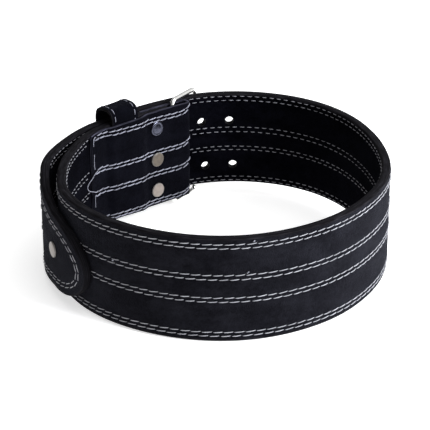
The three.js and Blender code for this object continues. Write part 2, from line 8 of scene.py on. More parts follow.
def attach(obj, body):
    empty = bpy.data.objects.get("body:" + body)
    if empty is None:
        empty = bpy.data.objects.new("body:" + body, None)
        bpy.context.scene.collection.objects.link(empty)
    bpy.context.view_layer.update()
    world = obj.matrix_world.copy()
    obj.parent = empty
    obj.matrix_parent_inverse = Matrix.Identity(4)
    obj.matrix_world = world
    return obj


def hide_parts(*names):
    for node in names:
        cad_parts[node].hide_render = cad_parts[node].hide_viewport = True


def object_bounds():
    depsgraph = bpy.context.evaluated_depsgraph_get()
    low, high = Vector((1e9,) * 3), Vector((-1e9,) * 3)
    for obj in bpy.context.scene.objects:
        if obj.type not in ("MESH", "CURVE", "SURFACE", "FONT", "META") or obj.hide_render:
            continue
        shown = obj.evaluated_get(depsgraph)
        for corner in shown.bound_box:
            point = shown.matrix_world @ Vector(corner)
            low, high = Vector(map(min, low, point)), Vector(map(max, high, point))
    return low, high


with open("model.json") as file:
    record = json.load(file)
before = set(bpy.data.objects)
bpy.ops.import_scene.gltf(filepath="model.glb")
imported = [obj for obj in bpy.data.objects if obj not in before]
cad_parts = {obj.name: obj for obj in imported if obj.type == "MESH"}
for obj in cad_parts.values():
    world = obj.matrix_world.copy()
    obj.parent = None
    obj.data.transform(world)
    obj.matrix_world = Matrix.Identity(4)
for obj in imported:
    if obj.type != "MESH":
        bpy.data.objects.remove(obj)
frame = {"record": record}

# A suede weightlifting belt, fastened on its two-prong buckle, standing on a plain pale floor.
# Shapes are worked out in millimetres in the belt's own frame: the loop's middle is the origin,
# z = 0 is the strap's lower edge, and a turn is an angle round the loop in degrees, measured
# from +X towards +Y. place() turns and moves them into the room, in metres.
CAD_BOX = [[float(value) for value in corner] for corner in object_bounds()]
MM = 0.001

# Strap
STRAP_HEIGHT = 100.0
STRAP_THICKNESS = 9.0
EDGE_RADIUS = 2.2
ROUNDING_ROOM = 0.05
LOOP_RADIUS = 160.0
HALF = STRAP_THICKNESS / 2
SEAT_GAP = 0.3
HOLE_GAP = 0.4

# Finish numbers of a leather piece: its face, its cut edge, and the side that looks into the loop,
# which takes a darker, less shiny suede as painted shade
FACE = 0
EDGE = 1
SHADED_SIDE = 2

# Slow unevenness of the leather: depth, then its waves along, up and aslant, each as a wavelength
# over 2 pi. It fades out between two lengths short of the tip.
STRAP_WAVE = (0.18, 41.0, 23.0, 67.0)
WRAP_WAVE = (0.25, 17.0, 15.0, 39.0)
WAVE_FADE = (25.0, 60.0)

# Columns: turn, reach as a share of LOOP_RADIUS, strap thicknesses of an inner lap below
WINDING = np.array([
    (105, 1.021, 0), (115, 0.977, 0), (125, 0.948, 0), (135, 0.940, 0), (145, 0.960, 0),
    (155, 0.971, 0), (165, 0.971, 0), (178, 0.986, 0), (190, 1.008, 0), (202, 1.039, 0),
    (216, 1.050, 0), (240, 1.043, 0), (270, 1.019, 0), (300, 0.953, 0), (325, 0.906, 0),
    (350, 0.896, 0), (375, 0.912, 0), (390, 0.953, 0), (405, 1.014, 0), (420, 1.071, 0),
    (436, 1.083, 0.4), (452, 1.067, 0.75), (463, 1.035, 1), (475, 0.993, 1), (487, 0.968, 1),
    (497, 0.953, 1), (508, 0.975, 1), (522, 0.998, 1), (538, 1.037, 1), (550, 1.050, 1),
    (566, 1.053, 1), (584, 1.055, 1),
])

# Tongue end
TIP_TURN = 583.0
TAPER_LENGTH = 68.0
NOSE_LENGTH = 57.0
NOSE_HALF_HEIGHT = 37.5
TIP_DIP = 10.0

# Adjustment holes. Each row has a height and a shift towards the strap's buckle end
HOLE_DIAMETER = 9.0
HOLE_PITCH = 30.0
HOLE_FIRST_TURN = 450.8
HOLE_COLUMNS = 10
HOLE_IN_USE = 2
HOLE_ROWS = {"upper": (70.0, 0.0), "lower": (20.5, 4.0)}

# Leather wrap round the buckle's inner bar
WRAP_THICKNESS = 3.7
WRAP_EDGE_RADIUS = 1.1
FLAP_END_THICKNESS = 2.4
FLAP_THINNING = 16.0
FOLD_TURN = 108.3
FLAP_END_TURN = 157.0
OUTER_LEG_LENGTH = 52.0
CORE_CLEARANCE = 2.0

# Keeper
KEEPER_TURN = 137.3
KEEPER_WIDTH = 34.0
KEEPER_THICKNESS = 3.0
KEEPER_LENGTH = 270.0
KEEPER_RISE = 11.8
KEEPER_BLEND = 12.0
KEEPER_ARCH_POWER = 3.0
KEEPER_FOOT = 1.5
KEEPER_EDGE_RADIUS = 1.0

# Buckle
WIRE_RADIUS = 2.5
FRAME_LENGTH = 41.4
FRAME_TOP = 103.8
FRAME_BOTTOM = -9.2
FRAME_CORNER = 6.0
BAR_TURN = 113.1
PRONG_DIAMETER = 4.2
PRONG_LOOP_DEPTH = 2.6
PRONG_LOOP_WIDTH = 6.0
PRONG_LOOP_SWEEP = 290.0
PRONG_OVERHANG = 12.0
PRONG_TIP_SHARE = 0.55
PRONG_TIP_LENGTH = 2.6

# Rivets, and the heights of those through the flap
RIVET_HEAD_RADIUS = 7.5
RIVET_HEAD_RISE = 1.7
RIVET_RIM_BASE = 0.5
RIVET_RIM_RISE = 0.8
RIVET_RIM_ROUNDING = 0.75
RIVET_CROWN_SHARE = 0.86
RIVET_CROWN_SPREAD = 0.9
RIVET_CUP_SLOPE = (0.02, 0.16)
RIVET_CUP_DEPTH = 0.3
RIVET_SHANK_RADIUS = 2.0
RIVET_BACK_RADIUS = 5.0
RIVET_BACK_THICKNESS = 1.2
RIVET_TURN = 122.2
FLAP_RIVETS = {"upper": 82.0, "middle": 48.0, "lower": 14.0}
TIP_RIVET_FROM_TIP = 54.0
TIP_RIVET_HEIGHT = 46.0

# Where the belt bears on the floor, across from the buckle
FRONT_BEARING_TURN = 264.0

# Stitching: heights of the rows, two to a seam. The two lowest outer rows only dent the strap,
# because the stitches there are the top seam's, come back along the lower edge.
OUTER_ROWS = (94.4, 90.6, 65.0, 60.8, 43.2, 39.2, 8.2, 4.4)
INNER_ROWS = (97.0, 92.6, 62.8, 57.7, 41.3, 37.4, 7.0, 3.0)
FLAP_ROWS = (95.2, 91.4, 59.4, 55.8, 36.0, 32.2, 5.2, 1.9)
OUTER_PITCH = 9.4
OUTER_STITCH = 8.3
INNER_PITCH = 8.0
INNER_STITCH = 4.9
OUTER_SLANT = 5.0
OUTER_SEAM_START_ANGLE = 1.5
INNER_SEAM_START = 3.0
FLAP_STITCH = 9.0
FLAP_SLANT = -6.0
FLAP_SEAM_ENDS = (7.0, 3.5)
KEEPER_PITCH = 9.0
KEEPER_STITCH = 6.6
KEEPER_SEAM_INSET = 4.0
KEEPER_PHASE = 2.0
MIDDLE_SEAM_END = 100.0
THREAD_RADIUS = 0.4
FLAP_THREAD_RADIUS = 0.58
PLACE_SCATTER = 0.25
TURN_SCATTER = 0.03
LENGTH_SCATTER = (0.94, 1.04)
SEAM_DEPTH = 0.4
SEAM_WIDTH = 1.9
TONGUE_EXTRA_INSET = 2.8

# The flap sags near its fold. Columns: turn, rise of its seams, rise of its lower edge
FLAP_SAG = np.array([
    (106, 2.6, -1.5), (108.3, 0.2, -2.4), (110, -2.0, -3.0), (113, -2.6, -3.0), (122, -1.6, -3.0),
    (130, -1.1, -2.2), (139, 0, -0.5), (146, 0.9, 0), (152, 3.0, 0), (157, 3.3, 0),
])

# Loose threads at the flap's free end. Each is a radius and its spots: length short of the end,
# height and lift
FLAP_THREADS = [
    (0.38, [(8, 61.5, 0.3), (2, 60.5, 0.6), (-4, 56, -0.8), (-8.5, 53, -2.2), (-11.5, 49.5, -2.6),
            (-9, 45.5, -2), (-3, 42.5, 0), (3, 40, 0.5), (7, 40, 0.3)]),
    (0.36, [(5, 98.2, 0.3), (0.5, 97.6, 0.9), (-1.2, 94, 1), (-0.8, 90, 0.8)]),
    (0.3, [(0.2, 81, 0.9), (-0.9, 75, 1), (-0.2, 69, 0.7), (1.5, 65, 0.4)]),
    (0.3, [(4, 36, 0.3), (0, 37.5, 0.8), (-1.5, 31, 1.2), (-0.8, 25, 0.8)]),
]

# Nubs of thread on the strap's front: turn, height, lean
NUB_RADIUS = 0.42
NUBS = [(273.5, 66.5, 2.5), (275.2, 96.0, 2.0), (231.5, 62.5, 1.5)]

# Camera, in the belt's frame, and the lens for a 36 mm sensor
CAMERA_AIM = (-17.0, -14.0, 50.0)
CAMERA_DISTANCE = 1603.0
CAMERA_ELEVATION = 25.3
SENSOR_WIDTH = 36.0
IMAGE_WIDTH = 430
FOCAL_PIXELS = 1698.0

# Density of the meshes: steps in mm, angles in degrees, and points on a band's faces, rims and
# corners
STRAP_STEP = 3.2
STRAP_COLUMNS = (62, 5, 4)
NOSE_SWEEP = 88.5
NOSE_STEPS = 34
HOLE_STEP_ANGLE = 12
LEG_STEP_ANGLE = 0.8
FOLD_STEP_ANGLE = 7.5
FLAP_STEPS = 74
WRAP_COLUMNS = (56, 4, 3)
PRONG_STEPS = 110
PRONG_SIDES = 20
SLOT_STEPS = 90
SLOT_SIDES = 16
WIRE_SIDES = 28
RIVET_SIDES = 40
STITCH_SIDES = 6
STRAND_SIDES = 8

# Shares of a band's normal: pointing up or down past RIM_SHARE a point is on a cut edge, and
# pointing across past FACE_SHARE on a face
RIM_SHARE = 0.3
FACE_SHARE = 0.9

# Angle between faces, past which the edge between them is shaded sharp
SHARP_ANGLE = 42.0

# Floor, in metres
FLOOR_REACH = 6.0
FLOOR_DROP = 0.0005


def lengths_of(line):
    """Length gone at each point of a line."""
    return np.concatenate([[0.0], np.cumsum(np.linalg.norm(np.diff(line, axis=0), axis=1))])


def read_along(gone, table, length):
    """A table whose rows lie at the lengths gone, read at other lengths."""
    return np.stack([np.interp(length, gone, column) for column in np.asarray(table).T], -1)


def circle(sides):
    """Angles of the points of a ring."""
    return np.linspace(0, 2 * np.pi, sides, endpoint=False)


def rightward(vectors):
    """Plan vectors turned by -90 degrees."""
    return np.stack([vectors[..., 1], -vectors[..., 0]], -1)


def unit(vectors):
    """Vectors made 1 long."""
    return vectors / np.maximum(np.linalg.norm(vectors, axis=-1, keepdims=True), 1e-9)


def winding_radius(turn):
    """Distance of the centre line from the loop's middle: a cubic through the rows of WINDING.
    A row's distance is LOOP_RADIUS times reach, plus STRAP_THICKNESS times laps. Its slope is
    the mean of the slopes on both sides, each weighted by the other side's span."""
    turns, reach, laps = WINDING.T
    radius = LOOP_RADIUS * reach + STRAP_THICKNESS * laps
    spans = np.diff(turns)
    rises = np.diff(radius) / spans
    slopes = np.empty_like(radius)
    slopes[1:-1] = (rises[:-1] * spans[1:] + rises[1:] * spans[:-1]) / (spans[:-1] + spans[1:])
    slopes[0], slopes[-1] = rises[0], rises[-1]
    row = np.clip(np.searchsorted(turns, turn, side="right") - 1, 0, len(spans) - 1)
    t = (turn - turns[row]) / spans[row]
    return (radius[row] * (2 * t**3 - 3 * t**2 + 1)
            + slopes[row] * spans[row] * (t**3 - 2 * t**2 + t)
            + radius[row + 1] * (3 * t**2 - 2 * t**3)
            + slopes[row + 1] * spans[row] * (t**3 - t**2))


def plan_frame(turn):
    """Plan point, forward direction and outward direction of the centre line at a turn. Forward
    is the derivative of radius times (cos, sin), and outward is forward turned by -90 degrees."""
    turn = np.asarray(turn, float)
    angle = np.radians(turn)
    nudge = 0.05
    radius = winding_radius(turn)
    slope = (winding_radius(turn + nudge) - winding_radius(turn - nudge)) / np.radians(2 * nudge)
    out = np.stack([np.cos(angle), np.sin(angle)], -1)
    side = np.stack([-out[..., 1], out[..., 0]], -1)
    forward = unit(out * slope[..., None] + side * radius[..., None])
    return out * radius[..., None], forward, rightward(forward)


def plan_point(turn, offset=0.0):
    """Plan point at a turn, moved outward from the centre line by an offset."""
    point, _, outward = plan_frame(turn)
    return point + outward * np.asarray(offset, float)[..., None]


# Length along the centre line at a fine row of turns
TURNS = np.arange(WINDING[0, 0] - 8, WINDING[-1, 0] + 8, 0.25)
LENGTHS = lengths_of(plan_point(TURNS))


def length_at(turn):
    """Length along the centre line at a turn."""
    return np.interp(turn, TURNS, LENGTHS)


def turn_at(length):
    """Turn at a length along the centre line."""
    return np.interp(length, LENGTHS, TURNS)


def turn_along(turn, length):
    """Turn that lies a given length further along the centre line."""
    return turn_at(length_at(turn) + length)


def smooth(value, low, high):
    """Goes from 0 at low to 1 at high as 3 t^2 - 2 t^3."""
    t = np.clip((value - low) / (high - low), 0, 1)
    return t * t * (3 - 2 * t)


# Places that several pieces share
POCKET_INNER = -(HALF + SEAT_GAP)
POCKET_OUTER = HALF - WRAP_THICKNESS
POCKET_MIDDLE = (POCKET_INNER + POCKET_OUTER) / 2
BAR_POINT = plan_point(BAR_TURN, POCKET_MIDDLE)
PRONG_LOOP_RADIUS = WIRE_RADIUS + SEAT_GAP + PRONG_LOOP_DEPTH / 2
OUTER_LEG_END = turn_along(FOLD_TURN, OUTER_LEG_LENGTH)
CORE_TURN = turn_along(BAR_TURN, PRONG_LOOP_RADIUS + PRONG_LOOP_DEPTH / 2 + CORE_CLEARANCE)
KEEPER_FROM = turn_along(KEEPER_TURN, -KEEPER_WIDTH / 2)
KEEPER_TO = turn_along(KEEPER_TURN, KEEPER_WIDTH / 2)
TIP_LENGTH = length_at(TIP_TURN)
TIP_REACH = TAPER_LENGTH + NOSE_LENGTH
ON_TONGUE = HALF + SEAT_GAP + WIRE_RADIUS
BAR_CHOICES = np.linspace(BAR_TURN - 30, BAR_TURN, 6001)
BAR_SPANS = np.linalg.norm(plan_point(BAR_CHOICES + 360, ON_TONGUE) - BAR_POINT, axis=1)
FAR_TURN = BAR_CHOICES[np.abs(BAR_SPANS - FRAME_LENGTH).argmin()] + 360
FAR_POINT = plan_point(FAR_TURN, ON_TONGUE)
FRAME_ALONG = unit(FAR_POINT - BAR_POINT)


def resting_rotation():
    """Rotation that levels the plane through the buckle's lowest wire and the tangent of the
    strap's lower edge at the front bearing."""
    point, forward, outward = plan_frame(FRONT_BEARING_TURN)
    across = BAR_POINT + FRAME_ALONG * FRAME_CORNER - point - outward * (HALF - EDGE_RADIUS)
    bearing = Vector((*across, FRAME_BOTTOM - WIRE_RADIUS))
    normal = Vector((*forward, 0.0)).cross(bearing).normalized()
    if normal.z < 0:
        normal.negate()
    return normal.rotation_difference(Vector((0, 0, 1))).to_matrix()


# The record's mount lies on the strap's lower edge at the front bearing
ROTATION = resting_rotation()
BEARING_POINT = Vector((*plan_point(FRONT_BEARING_TURN), 0.0))
SHIFT = Vector(frame["record"]["mounts"][0]["pos_m"]) - ROTATION @ BEARING_POINT * MM


def place(points):
    """Belt-frame points in millimetres as room points in metres."""
    return points @ np.array(ROTATION).T * MM + np.array(SHIFT)


def upright(plan, height):
    """Plan points and heights as points in space."""
    height = np.broadcast_to(np.asarray(height, float), plan.shape[:-1])
    return np.concatenate([plan, height[..., None]], -1)


class Skin:
    """Faces of one mesh, gathered from grids of points in the belt's frame."""

    def __init__(self):
        self.points, self.faces, self.uvs, self.finishes, self.count = [], [], [], [], 0

    def grid(self, points, u, v, ring=True, loop=False, capped=True, finish=FACE):
        """Adds a grid of shape (rows, columns, 3), or many of them with a leading axis. ring joins
        the last column to the first, loop the last row to the first, and caps close open rings.
        finish is a number, or an array with one number for each column."""
        if points.ndim == 3:
            points = points[None]
        many, rows, columns = points.shape[:3]
        u = np.broadcast_to(u, (many, rows, columns))
        v = np.broadcast_to(v, (many, rows, columns))
        index = np.arange(many * rows * columns).reshape(many, rows, columns) + self.count
        steps_down = rows if loop else rows - 1
        steps_across = columns if ring else columns - 1
        r0, c0 = np.arange(steps_down), np.arange(steps_across)
        r1, c1 = (r0 + 1) % rows, (c0 + 1) % columns
        corners = [(r0, c0), (r0, c1), (r1, c1), (r1, c0)]
        quads, us, vs = (
            np.stack([table[:, r][:, :, c] for r, c in corners], -1) for table in (index, u, v))
        shown = np.broadcast_to(np.broadcast_to(finish, (columns,))[c0], quads.shape[:-1])
        self.points.append(points.reshape(-1, 3))
        self.faces += quads.reshape(-1, 4).tolist()
        self.uvs.append(np.stack([us, vs], -1).reshape(-1, 2))
        self.finishes.append(shown.reshape(-1))
        if ring and not loop and capped:
            for row, order in ((0, -1), (rows - 1, 1)):
                caps = index[:, row, ::order]
                self.faces += caps.tolist()
                cap_uvs = np.stack([u[:, row, ::order], v[:, row, ::order]], -1)
                self.uvs.append(cap_uvs.reshape(-1, 2))
                self.finishes.append(np.full(many, min(np.max(finish), EDGE)))
        self.count += many * rows * columns
        return self

    def mesh(self, name):
        """The gathered faces as a mesh, turned over if they enclose a negative volume."""
        points = place(np.concatenate(self.points))
        uvs = np.concatenate(self.uvs)
        quads = np.array([face[:4] for face in self.faces])
        first, second, third, fourth = (points[quads[:, k]] - points[0] for k in range(4))
        volume = (first * np.cross(second, third) + first * np.cross(third, fourth)).sum()
        mesh = bpy.data.meshes.new(name)
        mesh.from_pydata(points.tolist(), [], self.faces)
        mesh.uv_layers.new(name="UVMap").data.foreach_set("uv", uvs.reshape(-1).astype("f4"))
        mesh.polygons.foreach_set("material_index", np.concatenate(self.finishes).astype("i4"))
        if volume < 0:
            mesh.flip_normals()
        return soften(mesh)


def soften(mesh):
    """Smooth shading between faces, up to SHARP_ANGLE."""
    mesh.shade_smooth()
    mesh.set_sharp_from_angle(angle=np.radians(SHARP_ANGLE))
    return mesh


def link(name, data):
    """A new object in the scene, with its data."""
    item = bpy.data.objects.new(name, data)
    bpy.context.scene.collection.objects.link(item)
    return item


def show(name, mesh, finishes, slot, *nodes):
    """Links a mesh as a piece that rides on the root body and stands for the named CAD nodes."""
    piece = link(name, mesh)
    for finish in finishes:
        mesh.materials.append(finish)
    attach(piece, "root")
    if nodes:
        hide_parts(*nodes)


def cut(mesh, cutters, name):
    """The mesh with another taken out of it, by an exact boolean."""
    body = link(name, mesh)
    tool = link(name + "_tool", cutters)
    for _ in (FACE, EDGE, SHADED_SIDE):
        mesh.materials.append(None)
        cutters.materials.append(None)
    step = body.modifiers.new("cut", "BOOLEAN")
    step.operation = "DIFFERENCE"
    step.solver = "EXACT"
    step.object = tool
    bpy.context.view_layer.update()
    depsgraph = bpy.context.evaluated_depsgraph_get()
    result = bpy.data.meshes.new_from_object(body.evaluated_get(depsgraph))
    result.name = name
    shown = np.empty(len(result.polygons), "i4")
    result.polygons.foreach_get("material_index", shown)
    result.materials.clear()
    result.polygons.foreach_set("material_index", shown)
    for item in (body, tool):
        bpy.data.objects.remove(item)
    return soften(result)


def band_columns(on_face, on_rim, on_corner):
    """Rounded rectangle as a core rectangle grown by a radius. Each column has its place on the
    core, from -1 to 1 across and up, and the unit normal along which the radius is added."""
    face = np.linspace(-1, 1, on_face)
    rim = np.linspace(1, -1, on_rim)
    bend = np.radians(np.linspace(0, 90, on_corner + 2)[1:-1])
    across, up, normal = [], [], []
    for quarter in range(4):
        turned = quarter * 90
        line = face if quarter % 2 == 0 else rim
        corner = [(1, 1), (-1, 1), (-1, -1), (1, -1)][quarter]
        if quarter % 2 == 0:
            across.append(np.full(line.shape, corner[0]))
            up.append(line if quarter == 0 else -line)
        else:
            across.append(line if quarter == 1 else -line)
            up.append(np.full(line.shape, corner[1]))
        normal.append(np.full(line.shape, np.radians(turned)))
        across.append(np.full(bend.shape, corner[0]))
        up.append(np.full(bend.shape, corner[1]))
        normal.append(bend + np.radians(turned))
    across, up, normal = (np.concatenate(part) for part in (across, up, normal))
    return across, up, np.cos(normal), np.sin(normal)


def band_grid(plan, outward, inner, outer, low, high, radius, columns, lift=None):
    """Rings of an upright band: offset is the middle plus across times the core's half width plus
    the radius times the normal's part, and height likewise. lift moves the points of both faces
    away from the middle."""
    across, up, out, rise = columns
    sizes = (inner, outer, low, high, radius)
    inner, outer, low, high, radius = (
        np.broadcast_to(value, plan.shape[:1])[:, None] for value in sizes)
    offset = (inner + outer) / 2 + across * ((outer - inner) / 2 - radius) + radius * out
    height = (low + high) / 2 + up * ((high - low) / 2 - radius) + radius * rise
    if lift is not None:
        offset = offset + lift(height) * np.sign(out) * (np.abs(out) > FACE_SHARE)
    return upright(plan[:, None] + outward[:, None] * offset[..., None], height), offset, height


def seam_dents(height, rows, strength=1.0):
    """How far the thread pulls the leather in: a narrow bell round each row of stitches."""
    gaps = height[..., None] - np.asarray(rows)
    return -SEAM_DEPTH * strength * np.exp(-(gaps / SEAM_WIDTH) ** 2).sum(-1)


def slack(length, height, wave):
    """Slow unevenness that only sinks: a sine along times a sine up and aslant, less 1, times
    the depth."""
    depth, along, up, aslant = wave
    return depth * (np.sin(length / along) * np.sin(height / up + length / aslant) - 1)


def edges_near_tip(from_tip):
    """Low and high edge of the strap at a length short of the tip: a straight taper, then the
    half height of the nose times the root of 1 minus its square share, round a dipping middle."""
    half = STRAP_HEIGHT / 2
    middle = half - TIP_DIP * np.clip(1 - from_tip / TIP_REACH, 0, 1)
    share = np.clip((NOSE_LENGTH - from_tip) / NOSE_LENGTH, 0, 1)
    taper = np.clip((from_tip - NOSE_LENGTH) / TAPER_LENGTH, 0, 1)
    rise = np.where(share > 0, NOSE_HALF_HEIGHT * np.sqrt(1 - share**2),
                    NOSE_HALF_HEIGHT + (half - NOSE_HALF_HEIGHT) * taper)
    return middle - rise, middle + rise


def drums(places):
    """Upright-walled round cutters, each (turn, height, radius, inner, outer): a circle in the
    strap's own plane, carried from the inner offset to the outer one."""
    skin = Skin()
    around = np.radians(np.arange(0, 360, HOLE_STEP_ANGLE))
    for turn, height, radius, inner, outer in places:
        point, forward, outward = plan_frame(turn)
        along = radius * np.cos(around)
        rings = [
            upright(point + forward * along[:, None] + outward * offset,
                    height + radius * np.sin(around))
            for offset in (inner, outer)
        ]
        depth = np.array([inner, outer])[:, None] * MM
        skin.grid(np.array(rings), along * MM, depth, finish=EDGE)
    return skin


def hole_places():
    """Turn and height of each adjustment hole."""
    for column in range(HOLE_COLUMNS):
        for height, shift in HOLE_ROWS.values():
            yield turn_along(HOLE_FIRST_TURN, column * HOLE_PITCH - shift), height


def prong_rings(height, shift, steps, sides, grow=0.0):
    """Rings of a prong: a curl round the inner bar, then a smooth line through the hole in use
    and over the far bar. The section is an oval that turns from the flat curl to the round pin."""
    hole = plan_point(turn_along(HOLE_FIRST_TURN, HOLE_IN_USE * HOLE_PITCH - shift))
    away = unit(hole - BAR_POINT)
    side = np.array([-away[1], away[0]])
    turned = np.radians(np.linspace(PRONG_LOOP_SWEEP, 0, 11))[:, None]
    curl = BAR_POINT + PRONG_LOOP_RADIUS * (side * np.cos(turned) - away * np.sin(turned))
    outward = plan_frame(FAR_TURN)[2]
    over = FAR_POINT + outward * (WIRE_RADIUS + SEAT_GAP + PRONG_DIAMETER / 2)
    tip = plan_point(turn_along(FAR_TURN, -PRONG_OVERHANG),
                     HALF + 2 * WIRE_RADIUS + PRONG_DIAMETER / 2)
    line = smooth_line(np.vstack([curl, hole, over, tip]), steps)
    tangent = unit(np.gradient(line, axis=0))
    across = rightward(tangent)
    gone = lengths_of(line)
    curl_length = PRONG_LOOP_RADIUS * np.radians(PRONG_LOOP_SWEEP)
    on_pin = smooth(gone, curl_length, curl_length + PRONG_LOOP_WIDTH)
    left = np.clip((gone[-1] - gone) / PRONG_TIP_LENGTH, 0, 1)
    rounding = PRONG_TIP_SHARE + (1 - PRONG_TIP_SHARE) * np.sqrt(1 - (1 - left) ** 2)
    depth = (PRONG_LOOP_DEPTH + (PRONG_DIAMETER - PRONG_LOOP_DEPTH) * on_pin) * rounding
    width = (PRONG_LOOP_WIDTH + (PRONG_DIAMETER - PRONG_LOOP_WIDTH) * on_pin) * rounding
    around = circle(sides)
    offset = np.cos(around) * (depth / 2 + grow)[:, None]
    rise = np.sin(around) * (width / 2 + grow)[:, None]
    return upright(line[:, None] + across[:, None] * offset[..., None], height + rise), gone, around


def smooth_line(points, steps):
    """Points at even lengths along a centripetal Catmull-Rom curve through the given ones: on
    each span, a cubic whose end slopes follow the roots of the distances to the neighbours."""
    ends = np.vstack([2 * points[0] - points[1], points, 2 * points[-1] - points[-2]])
    knots = np.sqrt(np.linalg.norm(np.diff(ends, axis=0), axis=1))
    chords = np.diff(ends, axis=0)
    before, here, after = knots[:-2, None], knots[1:-1, None], knots[2:, None]
    slope_in = here * (chords[:-2] / before - (chords[:-2] + chords[1:-1]) / (before + here)
                       + chords[1:-1] / here)
    slope_out = here * (chords[1:-1] / here - (chords[1:-1] + chords[2:]) / (here + after)
                        + chords[2:] / after)
    t = np.linspace(0, 1, 25)[:, None, None]
    start, end = points[:-1], points[1:]
    fine = (start * (2 * t**3 - 3 * t**2 + 1) + slope_in * (t**3 - 2 * t**2 + t)
            + end * (3 * t**2 - 2 * t**3) + slope_out * (t**3 - t**2))
    fine = fine.transpose(1, 0, 2).reshape(-1, points.shape[1])
    gone = lengths_of(fine)
    return read_along(gone, fine, np.linspace(0, gone[-1], steps))


def strap_mesh():
    """Strap: a band swept along the winding, dented along its seams, with a faint slow wave, and
    its holes cut. Its outer face steps in where the wrap's outer leg lies on it."""
    leg_end = length_at(OUTER_LEG_END)
    nose = TIP_LENGTH - NOSE_LENGTH
    core = np.arange(length_at(CORE_TURN), leg_end, STRAP_STEP)
    body = np.arange(leg_end + SEAT_GAP, nose, STRAP_STEP)
    swing = np.radians(np.linspace(0, NOSE_SWEEP, NOSE_STEPS))
    lengths = np.concatenate([core, [leg_end], body, nose + NOSE_LENGTH * np.sin(swing)])
    turns = turn_at(lengths)
    point, _, outward = plan_frame(turns)
    from_tip = TIP_LENGTH - lengths
    low, high = edges_near_tip(from_tip)
    outer = np.where(lengths <= leg_end, POCKET_OUTER - SEAT_GAP, HALF)
    walls = np.minimum(high - low, outer + HALF)
    radius = np.minimum(EDGE_RADIUS, walls / 2 - ROUNDING_ROOM)
    fade = smooth(from_tip, *WAVE_FADE)[:, None]

    def lift(height):
        waves = slack(lengths[:, None], height, STRAP_WAVE)
        return fade * (seam_dents(height, OUTER_ROWS) + waves)

    columns = band_columns(*STRAP_COLUMNS)
    grid, offset, height = band_grid(point, outward, -HALF, outer, low, high, radius, columns, lift)
    # The strap's side that looks into the loop takes the darkest suede: painted shade
    sides = np.where(columns[2] < 0, SHADED_SIDE, FACE)
    finish = np.where(np.abs(columns[3]) > RIM_SHARE, EDGE, sides)
    skin = Skin().grid(grid, lengths[:, None] * MM, offset * MM, finish=finish)
    edge = HALF + 1
    tip_turn = turn_along(TIP_TURN, -TIP_RIVET_FROM_TIP)
    places = [(turn, height, HOLE_DIAMETER / 2, -edge, edge) for turn, height in hole_places()]
    places.append((tip_turn, TIP_RIVET_HEIGHT, RIVET_BACK_RADIUS + SEAT_GAP, -edge,
                   RIVET_BACK_THICKNESS + 2 * SEAT_GAP - HALF))
    return cut(skin.mesh("strap"), drums(places).mesh("holes"), "strap")


def keeper_bump(turn):
    """How far the flap stands off the strap, to pass over the keeper's inner leg."""
    rise_from, fall_to = turn_along(KEEPER_FROM, -SEAT_GAP), turn_along(KEEPER_TO, SEAT_GAP)
    rise = smooth(turn, turn_along(rise_from, -KEEPER_BLEND), rise_from)
    fall = smooth(turn, fall_to, turn_along(fall_to, KEEPER_BLEND))
    return (KEEPER_THICKNESS + SEAT_GAP) * (rise - fall)


def flap_offset(turn):
    """Offset of the flap's face that looks into the loop."""
    return POCKET_INNER - WRAP_THICKNESS - keeper_bump(turn)


def wrap_mesh():
    """Wrap: a thinner band along a line that comes back on itself. The line is the outer leg,
    a half circle round the pocket's middle, and the flap, which thins towards its free end."""
    half = WRAP_THICKNESS / 2
    outer_turns = np.arange(turn_along(OUTER_LEG_END, -SEAT_GAP), FOLD_TURN, -LEG_STEP_ANGLE)
    outer_leg = plan_point(outer_turns, POCKET_OUTER + half)
    _, forward, outward = plan_frame(FOLD_TURN)
    angle = np.radians(np.arange(0, 180, FOLD_STEP_ANGLE))[:, None]
    fold_radius = (POCKET_OUTER - POCKET_INNER) / 2 + half
    centre = plan_point(FOLD_TURN, POCKET_MIDDLE)
    fold = centre + fold_radius * (outward * np.cos(angle) - forward * np.sin(angle))
    flap_turns = np.linspace(FOLD_TURN, FLAP_END_TURN, FLAP_STEPS)
    flap = plan_point(flap_turns, POCKET_INNER - half - keeper_bump(flap_turns))
    line = np.concatenate([outer_leg, fold, flap])
    along = unit(np.gradient(line, axis=0))
    facing = -rightward(along)
    gone = lengths_of(line)
    thin = np.clip((gone[-1] - gone) / FLAP_THINNING, 0, 1)
    thick = FLAP_END_THICKNESS + (WRAP_THICKNESS - FLAP_END_THICKNESS) * thin

    def lift(height):
        return seam_dents(height, FLAP_ROWS, 0.8) + slack(gone[:, None], height, WRAP_WAVE)

    columns = band_columns(*WRAP_COLUMNS)
    swung = np.clip(np.arange(len(line)) - len(outer_leg), 0, len(fold)) / len(fold)
    line_turns = np.concatenate([np.full(len(outer_leg) + len(fold), FOLD_TURN), flap_turns])
    low = np.interp(line_turns, FLAP_SAG[:, 0], FLAP_SAG[:, 2]) * swung
    grid, offset, _ = band_grid(line, facing, -half, thick - half, low, STRAP_HEIGHT,
                                WRAP_EDGE_RADIUS, columns, lift)
    finish = np.where(np.abs(columns[3]) > RIM_SHARE, EDGE, FACE)
    skin = Skin().grid(grid, gone[:, None] * MM, offset * MM, finish=finish)
    cutters = Skin()
    for height, shift in HOLE_ROWS.values():
        rings, length, around = prong_rings(height, shift, SLOT_STEPS, SLOT_SIDES, HOLE_GAP)
        cutters.grid(rings, length[:, None] * MM, around, finish=EDGE)
    return cut(skin.mesh("wrap"), cutters.mesh("prong_slots"), "wrap")


